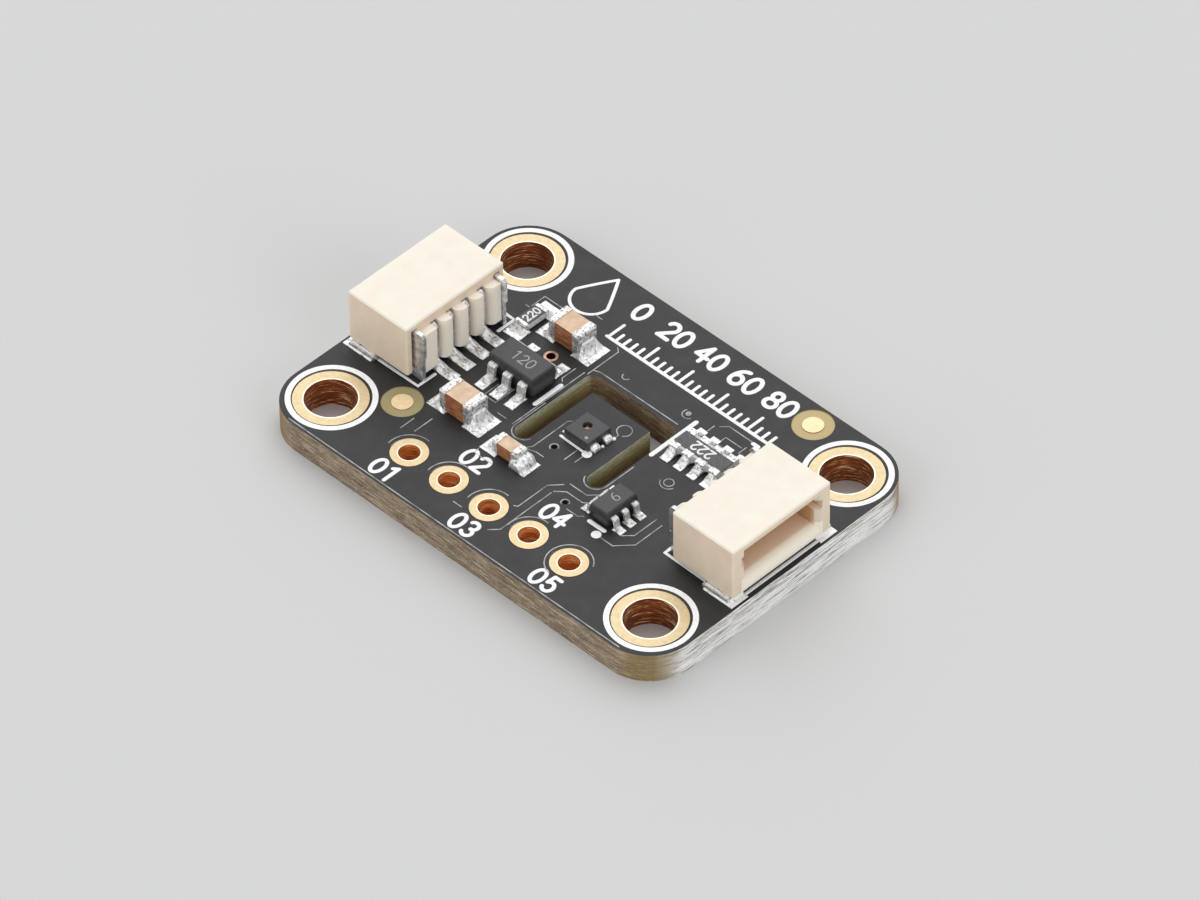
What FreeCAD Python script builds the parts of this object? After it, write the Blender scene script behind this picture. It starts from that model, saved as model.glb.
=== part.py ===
import FreeCAD, Part
import math
import os
import Sketcher
from FreeCAD import Placement, Rotation, Vector

# Temperature and humidity sensor module: a small circuit board with a sensor on a slotted tongue,
# two side-entry plug sockets, a voltage regulator, a level shifter and a few chip parts.
#
# Frame: the origin is the centre of the board's underside, X runs along the long edge from the
# left socket to the right one, Y from the header row to the far edge, Z up.
# All sizes are millimetres. A height is above the board's top face, unless its name says otherwise.

SIZES = {
    # The laminate, its copper and the openings in its solder mask.
    "board_length": 25.0,
    "board_width": 17.5,
    "board_thickness": 1.6,
    "board_corner": 2.4,
    "copper": 0.035,
    "plating": 0.035,
    "mask_gap": 0.05,
    "mount_inset_end": 2.34,
    "mount_inset_side": 2.4,
    "mount_hole": 2.5,
    "mount_pad": 3.55,
    "header_inset": 2.4,
    "header_pitch": 2.54,
    "header_hole": 1.04,
    "header_pad": 1.8,
    "via_hole": 0.44,
    "via_pad": 0.7,
    "via_inset": 7.62,
    "via_back": 2.57,
    "fiducial": 1.02,
    "fiducial_opening": 2.0,
    "front_fiducial_inset_end": 4.85,
    "front_fiducial_inset_side": 4.5,
    "back_fiducial_inset_end": 5.65,
    "back_fiducial_inset_side": 1.12,
    # The milled slot that keeps the board's heat away from the sensor.
    "slot_width": 0.95,
    "slot_span": 4.6,
    "slot_bar_back": 2.65,
    "slot_leg_front": 1.73,
    # Solder: the film that every terminal stands on, and how far it runs out.
    "solder_film": 0.03,
    "solder_rise": 0.35,
    "toe_rise": 0.1,
    "toe_run": 0.12,
    # The side-entry sockets. Lengths are measured back from the mouth, drops down from the top.
    "socket_inset": 0.29,
    "socket_width": 6.3,
    "socket_depth": 3.79,
    "socket_lift": 0.35,
    "socket_top": 3.2,
    "socket_edge": 0.07,
    "seat_length": 2.6,
    "seat_width": 3.6,
    "roof": 0.32,
    "floor_top": 1.0,
    "back_wall": 1.19,
    "cheek": 0.88,
    "lip_radius": 0.5,
    "lead_in": 0.2,
    "groove_depth": 0.33,
    "groove_drop": 0.7,
    "groove_height": 0.58,
    "groove_length": 2.0,
    "rib_depth": 0.47,
    "rib_drop": 0.55,
    "rib_round": 0.38,
    "slot_near": 0.16,
    "slot_far": 0.05,
    "slot_front": 0.1,
    # The socket contacts, cut from sheet and set on edge.
    "contact_pitch": 1.0,
    "contact_sheet": 0.2,
    "contact_recess": 0.16,
    "contact_plate": 0.5,
    "contact_drop": 0.6,
    "contact_shoulder": 0.3,
    "blade_rise": 0.75,
    "blade_height": 0.3,
    "blade_tip_back": 0.95,
    "blade_point": 0.12,
    "blade_clearance": 0.03,
    "tail_length": 0.85,
    "tail_height": 0.2,
    "tail_bend": 0.15,
    "heel_length": 0.3,
    "heel_height": 0.47,
    # The anchor plates at the two ends of a socket.
    "anchor_sheet": 0.2,
    "anchor_gap": 0.03,
    "anchor_wall": 0.32,
    "anchor_slot": 0.36,
    "anchor_drop": 0.36,
    "anchor_headroom": 0.05,
    "anchor_proud": 0.17,
    "anchor_step": 0.1,
    "anchor_step_height": 1.35,
    "anchor_corner": 0.25,
    "anchor_plate": 1.3,
    "anchor_bar": 0.85,
    "anchor_bar_front": 0.3,
    "foot_front": 0.12,
    "foot_length": 1.45,
    "foot_height": 0.2,
    "foot_overhang": 0.2,
    # Lands under the socket.
    "contact_land_width": 0.6,
    "contact_land_out": 1.18,
    "contact_land_in": 0.15,
    "anchor_land_front": 0.16,
    "anchor_land_length": 1.8,
    "anchor_land_in": 0.15,
    "anchor_land_out": 0.27,
    # The voltage regulator: a moulded package with five gull-wing leads.
    "regulator_inset": 7.63,
    "regulator_back": 0.7,
    "regulator_length": 2.9,
    "regulator_width": 1.6,
    "regulator_parting": 0.75,
    "regulator_height": 1.17,
    "regulator_standoff": 0.07,
    "regulator_draft": 9.0,
    "regulator_pitch": 0.95,
    "regulator_lead_width": 0.44,
    "regulator_lead_sheet": 0.14,
    "regulator_lead_reach": 0.6,
    "regulator_shoulder": 0.1,
    "regulator_slant": 0.1,
    "regulator_land_width": 0.56,
    "regulator_land_out": 0.5,
    # The level shifter: a smaller package with six gull-wing leads.
    "shifter_right": 4.3,
    "shifter_front": 2.7,
    "shifter_length": 2.0,
    "shifter_width": 1.2,
    "shifter_parting": 0.58,
    "shifter_height": 0.92,
    "shifter_standoff": 0.07,
    "shifter_draft": 11.0,
    "shifter_pitch": 0.65,
    "shifter_lead_width": 0.3,
    "shifter_lead_sheet": 0.11,
    "shifter_lead_reach": 0.48,
    "shifter_shoulder": 0.12,
    "shifter_slant": 0.09,
    "shifter_land_width": 0.4,
    "shifter_land_out": 0.15,
    "lead_bend": 0.04,
    "package_edge": 0.06,
    # The two large capacitors, the small one, the resistor and the resistor array.
    "large_capacitor_length": 2.0,
    "large_capacitor_width": 1.25,
    "large_capacitor_height": 1.25,
    "large_capacitor_cap": 0.43,
    "rear_capacitor_inset": 7.65,
    "rear_capacitor_back": 3.96,
    "front_capacitor_inset": 7.36,
    "front_capacitor_front": 2.79,
    "small_capacitor_length": 1.6,
    "small_capacitor_width": 0.8,
    "small_capacitor_height": 0.8,
    "small_capacitor_cap": 0.35,
    "small_capacitor_inset": 10.88,
    "small_capacitor_front": 3.37,
    "cap_plating": 0.045,
    "cap_edge": 0.075,
    "large_land_out": 0.68,
    "large_land_width": 1.5,
    "small_land_out": 0.62,
    "small_land_width": 1.1,
    "resistor_inset": 5.36,
    "resistor_back": 3.6,
    "resistor_length": 1.6,
    "resistor_width": 0.8,
    "resistor_height": 0.42,
    "resistor_cap": 0.24,
    "resistor_land_out": 0.6,
    "resistor_land_width": 1.02,
    "coat": 0.04,
    "coat_edge": 0.02,
    "array_inset": 7.7,
    "array_back": 2.6,
    "array_length": 3.1,
    "array_width": 1.5,
    "array_height": 0.46,
    "array_pitch": 0.83,
    "array_terminal_width": 0.48,
    "array_terminal_depth": 0.33,
    "array_notch_radius": 0.15,
    "array_land_out": 0.6,
    "array_land_width": 0.5,
    # The sensor: a square package with a round opening over its sensing element.
    "sensor_side": 1.5,
    "sensor_height": 0.5,
    "sensor_roof": 0.3,
    "sensor_edge": 0.025,
    "sensor_opening": 0.42,
    "sensor_opening_left": 0.12,
    "sensor_opening_back": 0.12,
    "sensor_opening_bevel": 0.03,
    "sensor_element": 0.26,
    "sensor_element_height": 0.1,
    "sensor_pitch": 0.8,
    "sensor_land_width": 0.42,
    "sensor_land_in": 0.3,
    "sensor_land_out": 0.3,
}

# Places that several pieces share, as formulas.
LEFT_END = "-1 * (board_length / 2 - %s)"
RIGHT_END = "(board_length / 2 - %s)"
FRONT_SIDE = "-1 * (board_width / 2 - %s)"
BACK_SIDE = "(board_width / 2 - %s)"
RIB_BLOCK = "(socket_width - 2 * (anchor_wall + anchor_slot))"
CAVITY = "(socket_width - 2 * cheek)"
RIB_TOP = "(socket_top - rib_drop)"
CONTACT_TOP = "(socket_top - contact_drop)"
ANCHOR_TOP = "(socket_top - anchor_drop)"
BLADE_LOW = "(floor_top + blade_rise)"
BLADE_TOP = "(floor_top + blade_rise + blade_height)"
GROOVE_TOP = "(socket_top - groove_drop)"

HEADER_PINS = 5
CONTACTS = 4
ARRAY_ELEMENTS = 4
ENDS = (1, -1)

doc = FreeCAD.newDocument("sensor_module")
sheet = doc.addObject("Spreadsheet::Sheet", "Sizes")
for row, (name, value) in enumerate(SIZES.items(), start=1):
    sheet.set("A%d" % row, name)
    sheet.set("B%d" % row, str(value))
    sheet.setAlias("B%d" % row, name)
doc.recompute()

nodes = []


def size(text):
    """Turns plain size names in a formula into references to the sheet's cells."""
    words = []
    for word in text.replace("(", " ( ").replace(")", " ) ").split():
        words.append("Sizes." + word if word in SIZES else word)
    return " ".join(words)


def bind(thing, **formulas):
    """Ties properties of an object to formulas. Two underscores in a name stand for a dot."""
    for name, formula in formulas.items():
        thing.setExpression(name.replace("__", "."), size(formula))


def keep(thing, label):
    """Marks an object as a sub-part of its own, under the given name."""
    thing.Label = label
    nodes.append(thing)
    return thing


def place(thing, x="0", y="0", z="0", turn=0.0):
    """Puts an object at a place given by formulas, turned about Z by a fixed angle."""
    thing.Placement = Placement(Vector(), Rotation(Vector(0, 0, 1), turn))
    bind(thing, Placement__Base__x=x, Placement__Base__y=y, Placement__Base__z=z)
    return thing


def new_body(name):
    return doc.addObject("PartDesign::Body", name)


def new_sketch(body, plane, offset="0"):
    """A sketch on one of the body's own planes, moved along the plane's normal."""
    sketch = body.newObject("Sketcher::SketchObject", "Sketch")
    origin = [item for item in body.Origin.OriginFeatures if item.Role == plane + "_Plane"][0]
    sketch.AttachmentSupport = [(origin, "")]
    sketch.MapMode = "FlatFace"
    bind(sketch, AttachmentOffset__Base__z=offset)
    return sketch


def pin(sketch, geometry, end, x, y):
    """Fixes one point of a sketch by two formulas, measured from the sketch's origin."""
    for kind, formula in (("DistanceX", x), ("DistanceY", y)):
        value = float(sketch.evalExpression(size(formula)))
        number = sketch.addConstraint(Sketcher.Constraint(kind, -1, 1, geometry, end, value))
        sketch.setExpression("Constraints[%d]" % number, size(formula))


def polygon(sketch, corners):
    """A closed outline of straight lines through corners given as pairs of formulas."""
    points = []
    for x, y in corners:
        points.append(Vector(sketch.evalExpression(size(x)), sketch.evalExpression(size(y)), 0))
    first = sketch.GeometryCount
    count = len(points)
    for index in range(count):
        sketch.addGeometry(Part.LineSegment(points[index], points[(index + 1) % count]))
    for index, (x, y) in enumerate(corners):
        following = first + (index + 1) % count
        sketch.addConstraint(Sketcher.Constraint("Coincident", first + index, 2, following, 1))
        pin(sketch, first + index, 1, x, y)


def rectangle(sketch, left, right, low, high):
    polygon(sketch, [(left, low), (right, low), (right, high), (left, high)])


def circle(sketch, x, y, radius):
    centre = Vector(sketch.evalExpression(size(x)), sketch.evalExpression(size(y)), 0)
    value = float(sketch.evalExpression(size(radius)))
    drawn = sketch.addGeometry(Part.Circle(centre, Vector(0, 0, 1), value))
    number = sketch.addConstraint(Sketcher.Constraint("Radius", drawn, value))
    sketch.setExpression("Constraints[%d]" % number, size(radius))
    pin(sketch, drawn, 3, x, y)


def pad(body, sketch, length, symmetric=False):
    feature = body.newObject("PartDesign::Pad", "Pad")
    feature.Profile = sketch
    bind(feature, Length=length)
    if symmetric:
        feature.SideType = "Symmetric"
    doc.recompute()
    return feature


def pocket(body, sketch, length, reverse=False):
    """A cut that starts at the sketch and runs against its normal, or along it if reversed."""
    before = body.Shape.Volume
    feature = body.newObject("PartDesign::Pocket", "Pocket")
    feature.Profile = sketch
    feature.Reversed = reverse
    bind(feature, Length=length)
    doc.recompute()
    if not body.Shape.Volume < before:
        raise RuntimeError("a pocket in %s cuts nothing" % body.Name)
    return feature


def round_edges(body, chosen, radius, bevel=False):
    """Fillets or chamfers the edges of the body's last feature that a test picks out."""
    base = body.Tip
    names = []
    for number, edge in enumerate(base.Shape.Edges, start=1):
        if chosen(edge):
            names.append("Edge%d" % number)
    if not names:
        raise RuntimeError("no edge of %s to round" % body.Name)
    kind = "Chamfer" if bevel else "Fillet"
    feature = body.newObject("PartDesign::" + kind, kind)
    feature.Base = (base, names)
    bind(feature, **{"Size" if bevel else "Radius": radius})
    doc.recompute()
    return feature


def amount(text):
    """The present value of a formula, for picking edges by their place."""
    return float(sheet.evalExpression(size(text)))


def along(edge, axis):
    """True for a straight edge that runs along one axis."""
    step = edge.Vertexes[-1].Point - edge.Vertexes[0].Point
    return edge.Length > 0.001 and edge.Length - abs(getattr(step, axis)) < 0.00001


def at(edge, **places):
    """True where the middle of an edge lies at the given x, y or z formulas."""
    middle = edge.BoundBox.Center
    for axis, text in places.items():
        if abs(getattr(middle, axis) - amount(text)) > 0.002:
            return False
    return True


# The laminate board.

def mount_places():
    for x in ENDS:
        for y in ENDS:
            yield ((RIGHT_END if x > 0 else LEFT_END) % "mount_inset_end",
                   (BACK_SIDE if y > 0 else FRONT_SIDE) % "mount_inset_side")


def header_places():
    for pin_number in range(HEADER_PINS):
        offset = pin_number - (HEADER_PINS - 1) / 2
        yield "%g * header_pitch" % offset, FRONT_SIDE % "header_inset"


def fiducial_places():
    yield LEFT_END % "front_fiducial_inset_end", FRONT_SIDE % "front_fiducial_inset_side"
    yield RIGHT_END % "back_fiducial_inset_end", BACK_SIDE % "back_fiducial_inset_side"


def obround(sketch, start, finish, radius):
    """The outline that a round cutter leaves between two points in line with X or Y."""
    ends = []
    for point in (start, finish):
        ends.append(Vector(*[sketch.evalExpression(size(part)) for part in point], 0))
    value = float(sketch.evalExpression(size(radius)))
    outward = math.degrees(math.atan2(ends[0].y - ends[1].y, ends[0].x - ends[1].x))
    arcs = []
    for centre, first_angle in ((ends[0], outward - 90), (ends[1], outward + 90)):
        ring = Part.Circle(centre, Vector(0, 0, 1), value)
        arc = Part.ArcOfCircle(ring, math.radians(first_angle), math.radians(first_angle + 180))
        arcs.append(sketch.addGeometry(arc))
    geometry = sketch.Geometry
    sides = []
    for one, other in ((0, 1), (1, 0)):
        line = Part.LineSegment(geometry[arcs[one]].EndPoint, geometry[arcs[other]].StartPoint)
        sides.append(sketch.addGeometry(line))
    for one, other in ((0, 1), (1, 0)):
        sketch.addConstraint(Sketcher.Constraint("Tangent", arcs[one], 2, sides[one], 1))
        sketch.addConstraint(Sketcher.Constraint("Tangent", sides[one], 2, arcs[other], 1))
    number = sketch.addConstraint(Sketcher.Constraint("Radius", arcs[0], value))
    sketch.setExpression("Constraints[%d]" % number, size(radius))
    pin(sketch, arcs[0], 3, *start)
    pin(sketch, arcs[1], 3, *finish)


def circuit_board():
    body = new_body("Board")
    outline = new_sketch(body, "XY")
    half_length = "board_length / 2"
    half_width = "board_width / 2"
    rectangle(outline, "-1 * " + half_length, half_length, "-1 * " + half_width, half_width)
    pad(body, outline, "board_thickness")
    round_edges(body, lambda edge: along(edge, "z"), "board_corner")

    holes = new_sketch(body, "XY")
    for x, y in mount_places():
        circle(holes, x, y, "mount_hole / 2 + plating")
    for x, y in header_places():
        circle(holes, x, y, "header_hole / 2 + plating")
    circle(holes, LEFT_END % "via_inset", "via_back", "via_hole / 2 + plating")
    pocket(body, holes, "board_thickness", reverse=True)

    # The solder mask stops short of each land, so the land lies in a shallow well.
    wells = new_sketch(body, "XY", "board_thickness")
    for x, y in mount_places():
        circle(wells, x, y, "mount_pad / 2 + mask_gap")
    for x, y in header_places():
        circle(wells, x, y, "header_pad / 2 + mask_gap")
    circle(wells, LEFT_END % "via_inset", "via_back", "via_pad / 2 + mask_gap")
    for x, y in fiducial_places():
        circle(wells, x, y, "fiducial_opening / 2")
    pocket(body, wells, "copper")

    # The slot round the tongue: two legs and the bar that joins them.
    for side in ENDS:
        leg = new_sketch(body, "XY")
        x = "%d * slot_span / 2" % side
        obround(leg, (x, "slot_bar_back"), (x, "-1 * slot_leg_front"), "slot_width / 2")
        pocket(body, leg, "board_thickness", reverse=True)
    bar = new_sketch(body, "XY")
    obround(bar, ("-1 * slot_span / 2", "slot_bar_back"), ("slot_span / 2", "slot_bar_back"), "slot_width / 2")
    pocket(body, bar, "board_thickness", reverse=True)
    return keep(body, "circuit_board")


def plated_ring(label, x, y, hole, land):
    """A plated hole: a copper barrel through the board, flush below, with a round land on top."""
    body = new_body("Ring")
    profile = new_sketch(body, "XZ")
    inner = hole + " / 2"
    outer = hole + " / 2 + plating"
    edge = land + " / 2"
    upper = "board_thickness - copper"
    polygon(profile, [
        (inner, "0"), (outer, "0"), (outer, upper), (edge, upper), (edge, "board_thickness"),
        (inner, "board_thickness"),
    ])
    feature = body.newObject("PartDesign::Revolution", "Revolution")
    feature.Profile = profile
    feature.ReferenceAxis = (profile, ["V_Axis"])
    feature.Angle = 360
    doc.recompute()
    place(body, x, y)
    return keep(body, label)


def fiducial(label, x, y):
    """A bare gold dot in a round window of the mask."""
    dot = doc.addObject("Part::Cylinder", "Dot")
    bind(dot, Radius="fiducial / 2", Height="copper")
    place(dot, x, y, "board_thickness - copper")
    return keep(dot, label)


# A side-entry socket, drawn with its mouth at X = 0 facing +X and the board's top face at Z = 0.

def contact_places():
    for number in range(CONTACTS):
        yield "%g * contact_pitch" % (number - (CONTACTS - 1) / 2)


def seat_socket_piece(body, side):
    """Moves a socket piece to the board's right or left end, facing out."""
    x = "%d * (board_length / 2 - socket_inset)" % side
    return place(body, x, "0", "board_thickness", 0.0 if side > 0 else 180.0)


def socket_housing(side, label):
    body = new_body("Housing")
    back = "-1 * socket_depth"
    rear = "-1 * (socket_depth + rib_depth)"

    block = new_sketch(body, "XZ")
    rectangle(block, back, "0", "socket_lift", "socket_top")
    pad(body, block, "socket_width", symmetric=True)
    top = "socket_top"
    round_edges(body, lambda edge: at(edge, z=top) or at(edge, z="(socket_lift + socket_top) / 2"),
                "socket_edge", bevel=True)

    ribs = new_sketch(body, "XZ")
    rectangle(ribs, rear, back, "socket_lift", RIB_TOP)
    pad(body, ribs, RIB_BLOCK, symmetric=True)
    seat = new_sketch(body, "XY")
    rectangle(seat, "-1 * (socket_depth + seat_length) / 2", "-1 * (socket_depth - seat_length) / 2",
              "-1 * seat_width / 2", "seat_width / 2")
    pad(body, seat, "socket_lift")

    # The mouth, with a keying groove along each side.
    depth = "socket_depth - back_wall"
    cavity = new_sketch(body, "YZ")
    rectangle(cavity, "-1 * %s / 2" % CAVITY, CAVITY + " / 2", "floor_top", "socket_top - roof")
    pocket(body, cavity, depth)
    grooves = new_sketch(body, "YZ")
    groove_side = CAVITY + " / 2 + groove_depth"
    rectangle(grooves, "-1 * (%s)" % groove_side, groove_side, GROOVE_TOP + " - groove_height", GROOVE_TOP)
    pocket(body, grooves, "groove_length")
    round_edges(body, lambda edge: along(edge, "y") and at(edge, x="0", y="0", z="floor_top"),
                "lip_radius")

    def cheek_corner(edge):
        inner = at(edge, x="0", y=CAVITY + " / 2") or at(edge, x="0", y="-1 * %s / 2" % CAVITY)
        return along(edge, "z") and inner

    round_edges(body, cheek_corner, "lead_in", bevel=True)

    # A slot behind each contact, open to the rear, and the hole that lets its blade through.
    slots = new_sketch(body, "XY", RIB_TOP)
    for y in contact_places():
        low = "%s - contact_sheet / 2 - slot_near" % y
        high = "%s + contact_sheet / 2 + slot_far" % y
        front = rear + " + contact_recess + contact_plate + slot_front"
        rectangle(slots, rear, front, low, high)
    pocket(body, slots, RIB_TOP + " - socket_lift")
    rounded = []
    for y in contact_places():
        rounded.append(amount("%s - contact_sheet / 2 - slot_near" % y))

    def rib_corner(edge):
        centre = edge.BoundBox.Center
        beside = any(abs(centre.y - place_y) < 0.002 for place_y in rounded)
        return along(edge, "z") and at(edge, x=rear) and beside

    round_edges(body, rib_corner, "rib_round")
    windows = new_sketch(body, "YZ", "-1 * (%s)" % depth)
    for y in contact_places():
        half = "(contact_sheet / 2 + blade_clearance)"
        rectangle(windows, "%s - %s" % (y, half), "%s + %s" % (y, half),
                  BLADE_LOW + " - blade_clearance", BLADE_TOP + " + blade_clearance")
    pocket(body, windows, "back_wall")

    # A slot at each end for the anchor plate, open below and to the rear.
    for plane in ("-1 * %s / 2" % RIB_BLOCK, "socket_width / 2 - anchor_wall"):
        ends = new_sketch(body, "XZ", plane)
        high = ANCHOR_TOP + " + anchor_headroom"
        step = rear + " - anchor_proud + anchor_plate + anchor_headroom"
        low = "anchor_bar + anchor_headroom"
        front = "-1 * (anchor_bar_front - anchor_headroom)"
        polygon(ends, [(back, "socket_lift"), (back, high), (step, high), (step, low),
                       (front, low), (front, "socket_lift")])
        pocket(body, ends, "anchor_slot")
    seat_socket_piece(body, side)
    return keep(body, label)


def socket_contact(side, label, y):
    """One contact: a blade into the mouth, a plate down the rear slot and a tail on the board."""
    body = new_body("Contact")
    profile = new_sketch(body, "XZ")
    rear = "-1 * (socket_depth + rib_depth) + contact_recess"
    plate = rear + " + contact_plate"
    tip = "-1 * blade_tip_back"
    tail = "solder_film + tail_height"
    polygon(profile, [
        (rear + " - tail_length", "solder_film"), (rear + " - tail_length", tail),
        (rear, tail), (rear, CONTACT_TOP), (plate, CONTACT_TOP), (plate, BLADE_TOP),
        (tip + " - blade_point", BLADE_TOP), (tip, BLADE_LOW + " + blade_height / 2"),
        (tip + " - blade_point", BLADE_LOW), (plate, BLADE_LOW),
        (plate, "solder_film + heel_height"), (plate + " - heel_length", "solder_film"),
    ])
    pad(body, profile, "contact_sheet", symmetric=True)
    round_edges(body, lambda edge: at(edge, x=rear, y="0", z=CONTACT_TOP), "contact_shoulder")
    round_edges(body, lambda edge: at(edge, x=rear, y="0", z=tail), "tail_bend", bevel=True)
    seat_socket_piece(body, side)
    bind(body, Placement__Base__y="%d * %s" % (side, y))
    return keep(body, label)


def socket_anchor(side, label, end):
    """One anchor: an upright plate in the housing's end slot with a foot turned out on the board."""
    body = new_body("Anchor")
    rear = "-1 * (socket_depth + rib_depth + anchor_proud)"
    inner = RIB_BLOCK + " / 2 + anchor_gap"
    outer = inner + " + anchor_sheet"
    profile = new_sketch(body, "XZ", "-1 * (%s)" % outer if end > 0 else inner)
    lower = rear + " + anchor_step"
    polygon(profile, [
        (lower, "solder_film"), (lower, "anchor_step_height"),
        (rear, "anchor_step_height + anchor_step"), (rear, ANCHOR_TOP),
        (rear + " + anchor_plate", ANCHOR_TOP), (rear + " + anchor_plate", "anchor_bar"),
        ("-1 * anchor_bar_front", "anchor_bar"), ("-1 * anchor_bar_front", "solder_film"),
    ])
    pad(body, profile, "anchor_sheet")
    round_edges(body, lambda edge: along(edge, "y") and at(edge, x=rear, z=ANCHOR_TOP), "anchor_corner")
    foot = new_sketch(body, "XY", "solder_film")
    tip = "socket_width / 2 + foot_overhang"
    reach = (inner, tip) if end > 0 else ("-1 * (%s)" % tip, "-1 * (%s)" % inner)
    rectangle(foot, "-1 * (anchor_bar_front + foot_length)", "-1 * anchor_bar_front + foot_front", *reach)
    pad(body, foot, "foot_height")
    seat_socket_piece(body, side)
    return keep(body, label)


def solder_group(name, lands, fillets):
    """Solder in one plane: flat films on the lands, and rising fillets drawn from the side."""
    body = new_body(name)
    films = new_sketch(body, "XY")
    for land in lands:
        rectangle(films, *land)
    pad(body, films, "solder_film")
    for plane, offset, corners, width in fillets:
        rise = new_sketch(body, plane, offset)
        polygon(rise, corners)
        pad(body, rise, width, symmetric=True)
    return body


def socket_solder(side):
    rear = "-1 * (socket_depth + rib_depth) + contact_recess"
    lands = []
    fillets = []
    tip = rear + " - tail_length"
    for y in contact_places():
        lands.append((tip + " - (contact_land_out - tail_length)", rear + " + contact_land_in",
                      "%s - contact_land_width / 2" % y, "%s + contact_land_width / 2" % y))
        fillets.append(("XZ", "-1 * %s" % y, [
            (tip + " - toe_run", "solder_film"), (tip, "solder_film"), (tip, "solder_film + toe_rise"),
        ], "contact_sheet"))
    for end in ENDS:
        edges = [RIB_BLOCK + " / 2 + anchor_gap - anchor_land_in", "socket_width / 2 + anchor_land_out"]
        if end < 0:
            edges = ["-1 * (%s)" % edge for edge in reversed(edges)]
        lands.append(("anchor_land_front - anchor_land_length", "anchor_land_front", *edges))
    body = solder_group("Solder", lands, fillets)
    return seat_socket_piece(body, side)


# Moulded packages with gull-wing leads. The package's length lies along X before it is turned.

def moulded_package(label, kind, x, y, turn):
    body = new_body("Package")
    outline = new_sketch(body, "XY", kind + "_parting")
    half_length = kind + "_length / 2"
    half_width = kind + "_width / 2"
    rectangle(outline, "-1 * " + half_length, half_length, "-1 * " + half_width, half_width)
    feature = body.newObject("PartDesign::Pad", "Pad")
    feature.Profile = outline
    feature.SideType = "Two sides"
    bind(feature, Length="%s_height - %s_parting" % (kind, kind),
         Length2="%s_parting - %s_standoff" % (kind, kind),
         TaperAngle="-1 * %s_draft" % kind, TaperAngle2="-1 * %s_draft" % kind)
    doc.recompute()
    round_edges(body, lambda edge: at(edge, z=kind + "_height") or edge.BoundBox.ZLength > 0.1,
                "package_edge", bevel=True)
    place(body, x, y, "board_thickness", turn)
    return keep(body, label)


def gull_wing_lead(label, kind, x, y, turn, along_body, facing):
    """One lead: out of the package's side, down past it and out again along the board."""
    body = new_body("Lead")
    profile = new_sketch(body, "YZ")
    sheet_metal = kind + "_lead_sheet"
    high = "%s_parting + %s / 2" % (kind, sheet_metal)
    low = "%s_parting - %s / 2" % (kind, sheet_metal)
    face = kind + "_width / 2"
    knee = face + " + %s_shoulder" % kind
    heel = knee + " + %s_slant" % kind
    toe = face + " + %s_lead_reach" % kind
    foot_top = "solder_film + " + sheet_metal
    polygon(profile, [
        (face, low), (knee, low), (heel, "solder_film"), (toe, "solder_film"),
        (toe, foot_top), (heel + " + " + sheet_metal, foot_top), (knee + " + " + sheet_metal, high),
        (face, high),
    ])
    pad(body, profile, kind + "_lead_width", symmetric=True)
    knees = ((knee, low), (heel + " + " + sheet_metal, foot_top))
    backs = ((heel, "solder_film"), (knee + " + " + sheet_metal, high))
    for corners, radius in ((knees, "lead_bend"), (backs, "lead_bend + %s / 4" % sheet_metal)):
        round_edges(body, lambda edge: any(at(edge, x="0", y=a, z=b) for a, b in corners), radius, bevel=True)
    shift = "(%s) * (%s)" % (facing, along_body)
    if turn:
        place(body, x, "%s - %s" % (y, shift), "board_thickness", 90.0 if facing < 0 else -90.0)
    else:
        place(body, "%s + %s" % (x, shift), y, "board_thickness", 0.0 if facing > 0 else 180.0)
    return keep(body, label)


def lead_solder(name, kind, leads):
    """Solder under and before the leads of one package. A lead is its place and its side."""
    lands = []
    fillets = []
    face = kind + "_width / 2"
    toe = face + " + %s_lead_reach" % kind
    start = face + " + %s_shoulder" % kind
    finish = toe + " + %s_land_out" % kind
    for along_body, facing in leads:
        sides = [start, finish] if facing > 0 else ["-1 * (%s)" % finish, "-1 * (%s)" % start]
        lands.append(("%s - %s_land_width / 2" % (along_body, kind),
                      "%s + %s_land_width / 2" % (along_body, kind), *sides))
        sign = "%d * " % facing
        fillets.append(("YZ", along_body, [
            (sign + "(%s + toe_run)" % toe, "solder_film"), (sign + "(%s)" % toe, "solder_film"),
            (sign + "(%s)" % toe, "solder_film + toe_rise"),
        ], kind + "_lead_width"))
    return solder_group(name, lands, fillets)


# Chip parts: a ceramic block with a plated cap on each end. The length lies along X before a turn.

def ceramic_block(kind, stand="board_thickness + solder_film"):
    """The ceramic of a chip part, inside the plating of its caps, standing on the solder film."""
    block = doc.addObject("Part::Box", "Ceramic")
    bind(block, Length=kind + "_length - 2 * cap_plating", Width=kind + "_width - 2 * cap_plating",
         Height=kind + "_height - 2 * cap_plating",
         Placement__Base__x="-1 * (%s_length / 2 - cap_plating)" % kind,
         Placement__Base__y="-1 * (%s_width / 2 - cap_plating)" % kind,
         Placement__Base__z=stand + " + cap_plating")
    return block


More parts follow.
